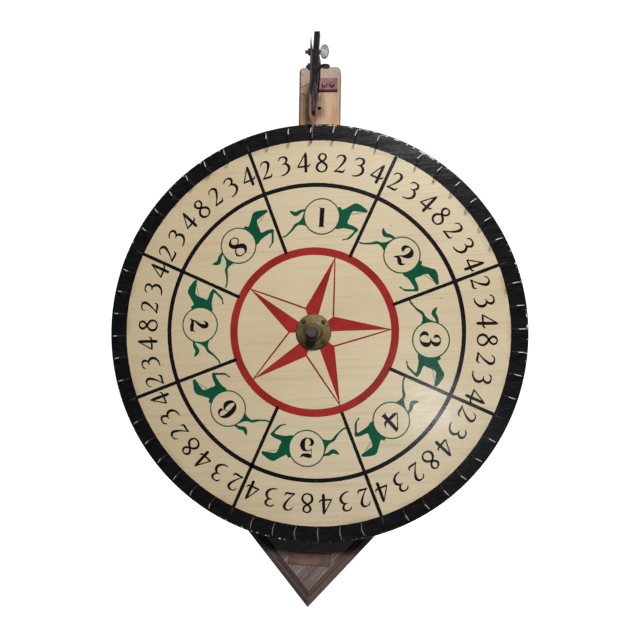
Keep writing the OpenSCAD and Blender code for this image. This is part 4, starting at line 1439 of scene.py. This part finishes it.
class WHEEL_OT_thumb_screws(Operator):
    """Turn the two thumb screws: a nickel one that clamps the leather and a dark one that the bar tips on"""

    bl_idname = "wheel.thumb_screws"
    bl_label = "Thumb Screws"

    def execute(self, context):
        metals = context.scene.wheel_metals
        nickel = nickel_finish(metals)
        bm = thumb_screw("clamp_thumb_screw", 4.0, 0)
        clamp = make_piece("clamp_screw", bm, nickel, "clamp_screw", smooth=True)
        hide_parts("clamp_thumb_screw")
        dull = darker(metals.rust, 0.5)
        dark = worn_metal_finish("pivot_steel", metals.dark_steel, dull, 150.0, (0.36, 0.6), 0.8)
        bm = thumb_screw("pivot_thumb_screw", 4.4, 102)
        pivot = make_piece("pivot_screw", bm, dark, "pivot_screw", smooth=True)
        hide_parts("pivot_thumb_screw")
        return {"FINISHED"}


def area_light(name, place, aim, size, power, spread):
    """A soft square light at a place, turned to its aim."""
    data = bpy.data.lights.new(name, "AREA")
    data.energy = power
    data.size = size
    data.spread = spread
    light = bpy.data.objects.new(name, data)
    light.location = place
    light.rotation_euler = (Vector(aim) - Vector(place)).to_track_quat("-Z", "Y").to_euler()
    bpy.context.scene.collection.objects.link(light)
    return data


class WHEEL_OT_stage(Operator):
    """Set the camera, the soft lights and a pale floor that sweeps up behind"""

    bl_idname = "wheel.stage"
    bl_label = "Stage"

    def execute(self, context):
        scene = context.scene
        settings = scene.wheel_stage
        scene.view_settings.view_transform = "Standard"
        self.set_camera(scene, settings)
        self.set_lights(scene, settings)
        self.set_floor(settings)
        return {"FINISHED"}

    @staticmethod
    def set_camera(scene, settings):
        """The camera at the photograph's place, from its yaw, pitch and roll."""
        yaw, pitch, roll = settings.yaw, settings.pitch, settings.roll
        ahead = Vector((math.sin(yaw) * math.cos(pitch), math.cos(yaw) * math.cos(pitch), math.sin(pitch)))
        level = Vector((math.cos(yaw), -math.sin(yaw), 0.0))
        above = level.cross(ahead)
        right = level * math.cos(roll) + above * math.sin(roll)
        up = above * math.cos(roll) - level * math.sin(roll)
        data = bpy.data.cameras.new("camera")
        data.lens = settings.lens
        data.sensor_width = 36.0
        camera = bpy.data.objects.new("camera", data)
        scene.collection.objects.link(camera)
        turn = Matrix((right, up, -ahead)).transposed().to_4x4()
        camera.matrix_world = Matrix.Translation(Vector(settings.camera)) @ turn
        scene.camera = camera

    @staticmethod
    def set_lights(scene, settings):
        """Soft light all round, a main light from above and a low one that shines on the varnish."""
        world = bpy.data.worlds.new("soft_room")
        world.use_nodes = True
        room = world.node_tree.nodes["Background"].inputs
        room["Color"].default_value = (1.0, 0.985, 0.96, 1.0)
        room["Strength"].default_value = settings.world
        scene.world = world
        area_light(
            "key", settings.key_place, settings.key_aim, settings.key_size, settings.key, settings.key_spread
        )
        glare = area_light(
            "glare", settings.glare_place, settings.glare_aim,
            settings.glare_size, settings.glare, settings.glare_spread,
        )
        glare.color = settings.glare_tint

    @staticmethod
    def set_floor(settings):
        """A wide sheet: flat floor, round sweep and upright back, which glows a little behind the wheel."""
        bm = bmesh.new()
        start, sweep_y, radius, top, half, steps = -4.0, 2.2, 1.2, 4.0, 7.0, 12
        rows = [(start, 0.0), (sweep_y, 0.0)]
        for i in range(1, steps + 1):
            t = math.pi / 2 * i / steps
            rows.append((sweep_y + radius * math.sin(t), radius * (1 - math.cos(t))))
        rows.append((sweep_y + radius, top))
        edges = []
        for y, z in rows:
            edges.append([bm.verts.new((x, y, settings.floor + z)) for x in (-half, half)])
        for first, second in zip(edges, edges[1:]):
            bm.faces.new((first[0], first[1], second[1], second[0]))
        f = Finish("pale_floor")
        behind = f.xyz()[1].between(0.5, 0.9)
        glow = f.mix((0.0, 0.0, 0.0), (1.0, 1.0, 1.0), behind)
        pale = f.mix((0.45, 0.45, 0.45), (0.80, 0.80, 0.80), behind)
        material = f.shade(pale, 0.9, emission_color=glow, emission_strength=0.9)
        mesh = bpy.data.meshes.new("floor")
        bm.to_mesh(mesh)
        bm.free()
        mesh.materials.append(material)
        mesh.shade_smooth()
        floor = bpy.data.objects.new("floor", mesh)
        bpy.context.scene.collection.objects.link(floor)


STEPS = (
    WHEEL_OT_stage,
    WHEEL_OT_dial_board,
    WHEEL_OT_dial_lines,
    WHEEL_OT_star,
    WHEEL_OT_rim_numbers,
    WHEEL_OT_racing_figures,
    WHEEL_OT_rim_staples,
    WHEEL_OT_hub,
    WHEEL_OT_bearing,
    WHEEL_OT_back_boards,
    WHEEL_OT_bracket,
    WHEEL_OT_clapper,
    WHEEL_OT_leather,
    WHEEL_OT_thumb_screws,
)


class WHEEL_PT_steps(Panel):
    """The steps that dress the wheel, in order"""

    bl_label = "Carnival Wheel"
    bl_idname = "WHEEL_PT_steps"
    bl_space_type = "VIEW_3D"
    bl_region_type = "UI"
    bl_category = "Wheel"

    def draw(self, context):
        column = self.layout.column(align=True)
        for step in STEPS:
            column.operator(step.bl_idname)


GROUPS = {
    "wheel_dial": DialSizes,
    "wheel_staples": StapleSizes,
    "wheel_paints": PaintColours,
    "wheel_woods": WoodColours,
    "wheel_metals": MetalColours,
    "wheel_stage": StageSettings,
}


def register():
    for name, group in GROUPS.items():
        bpy.utils.register_class(group)
        setattr(bpy.types.Scene, name, PointerProperty(type=group))
    for cls in (*STEPS, WHEEL_PT_steps):
        bpy.utils.register_class(cls)


def unregister():
    for cls in reversed((*STEPS, WHEEL_PT_steps)):
        bpy.utils.unregister_class(cls)
    for name, group in reversed(GROUPS.items()):
        delattr(bpy.types.Scene, name)
        bpy.utils.unregister_class(group)


def main():
    """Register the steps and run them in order."""
    register()
    for step in STEPS:
        group, name = step.bl_idname.split(".")
        getattr(getattr(bpy.ops, group), name)()


if __name__ == "__main__":
    main()
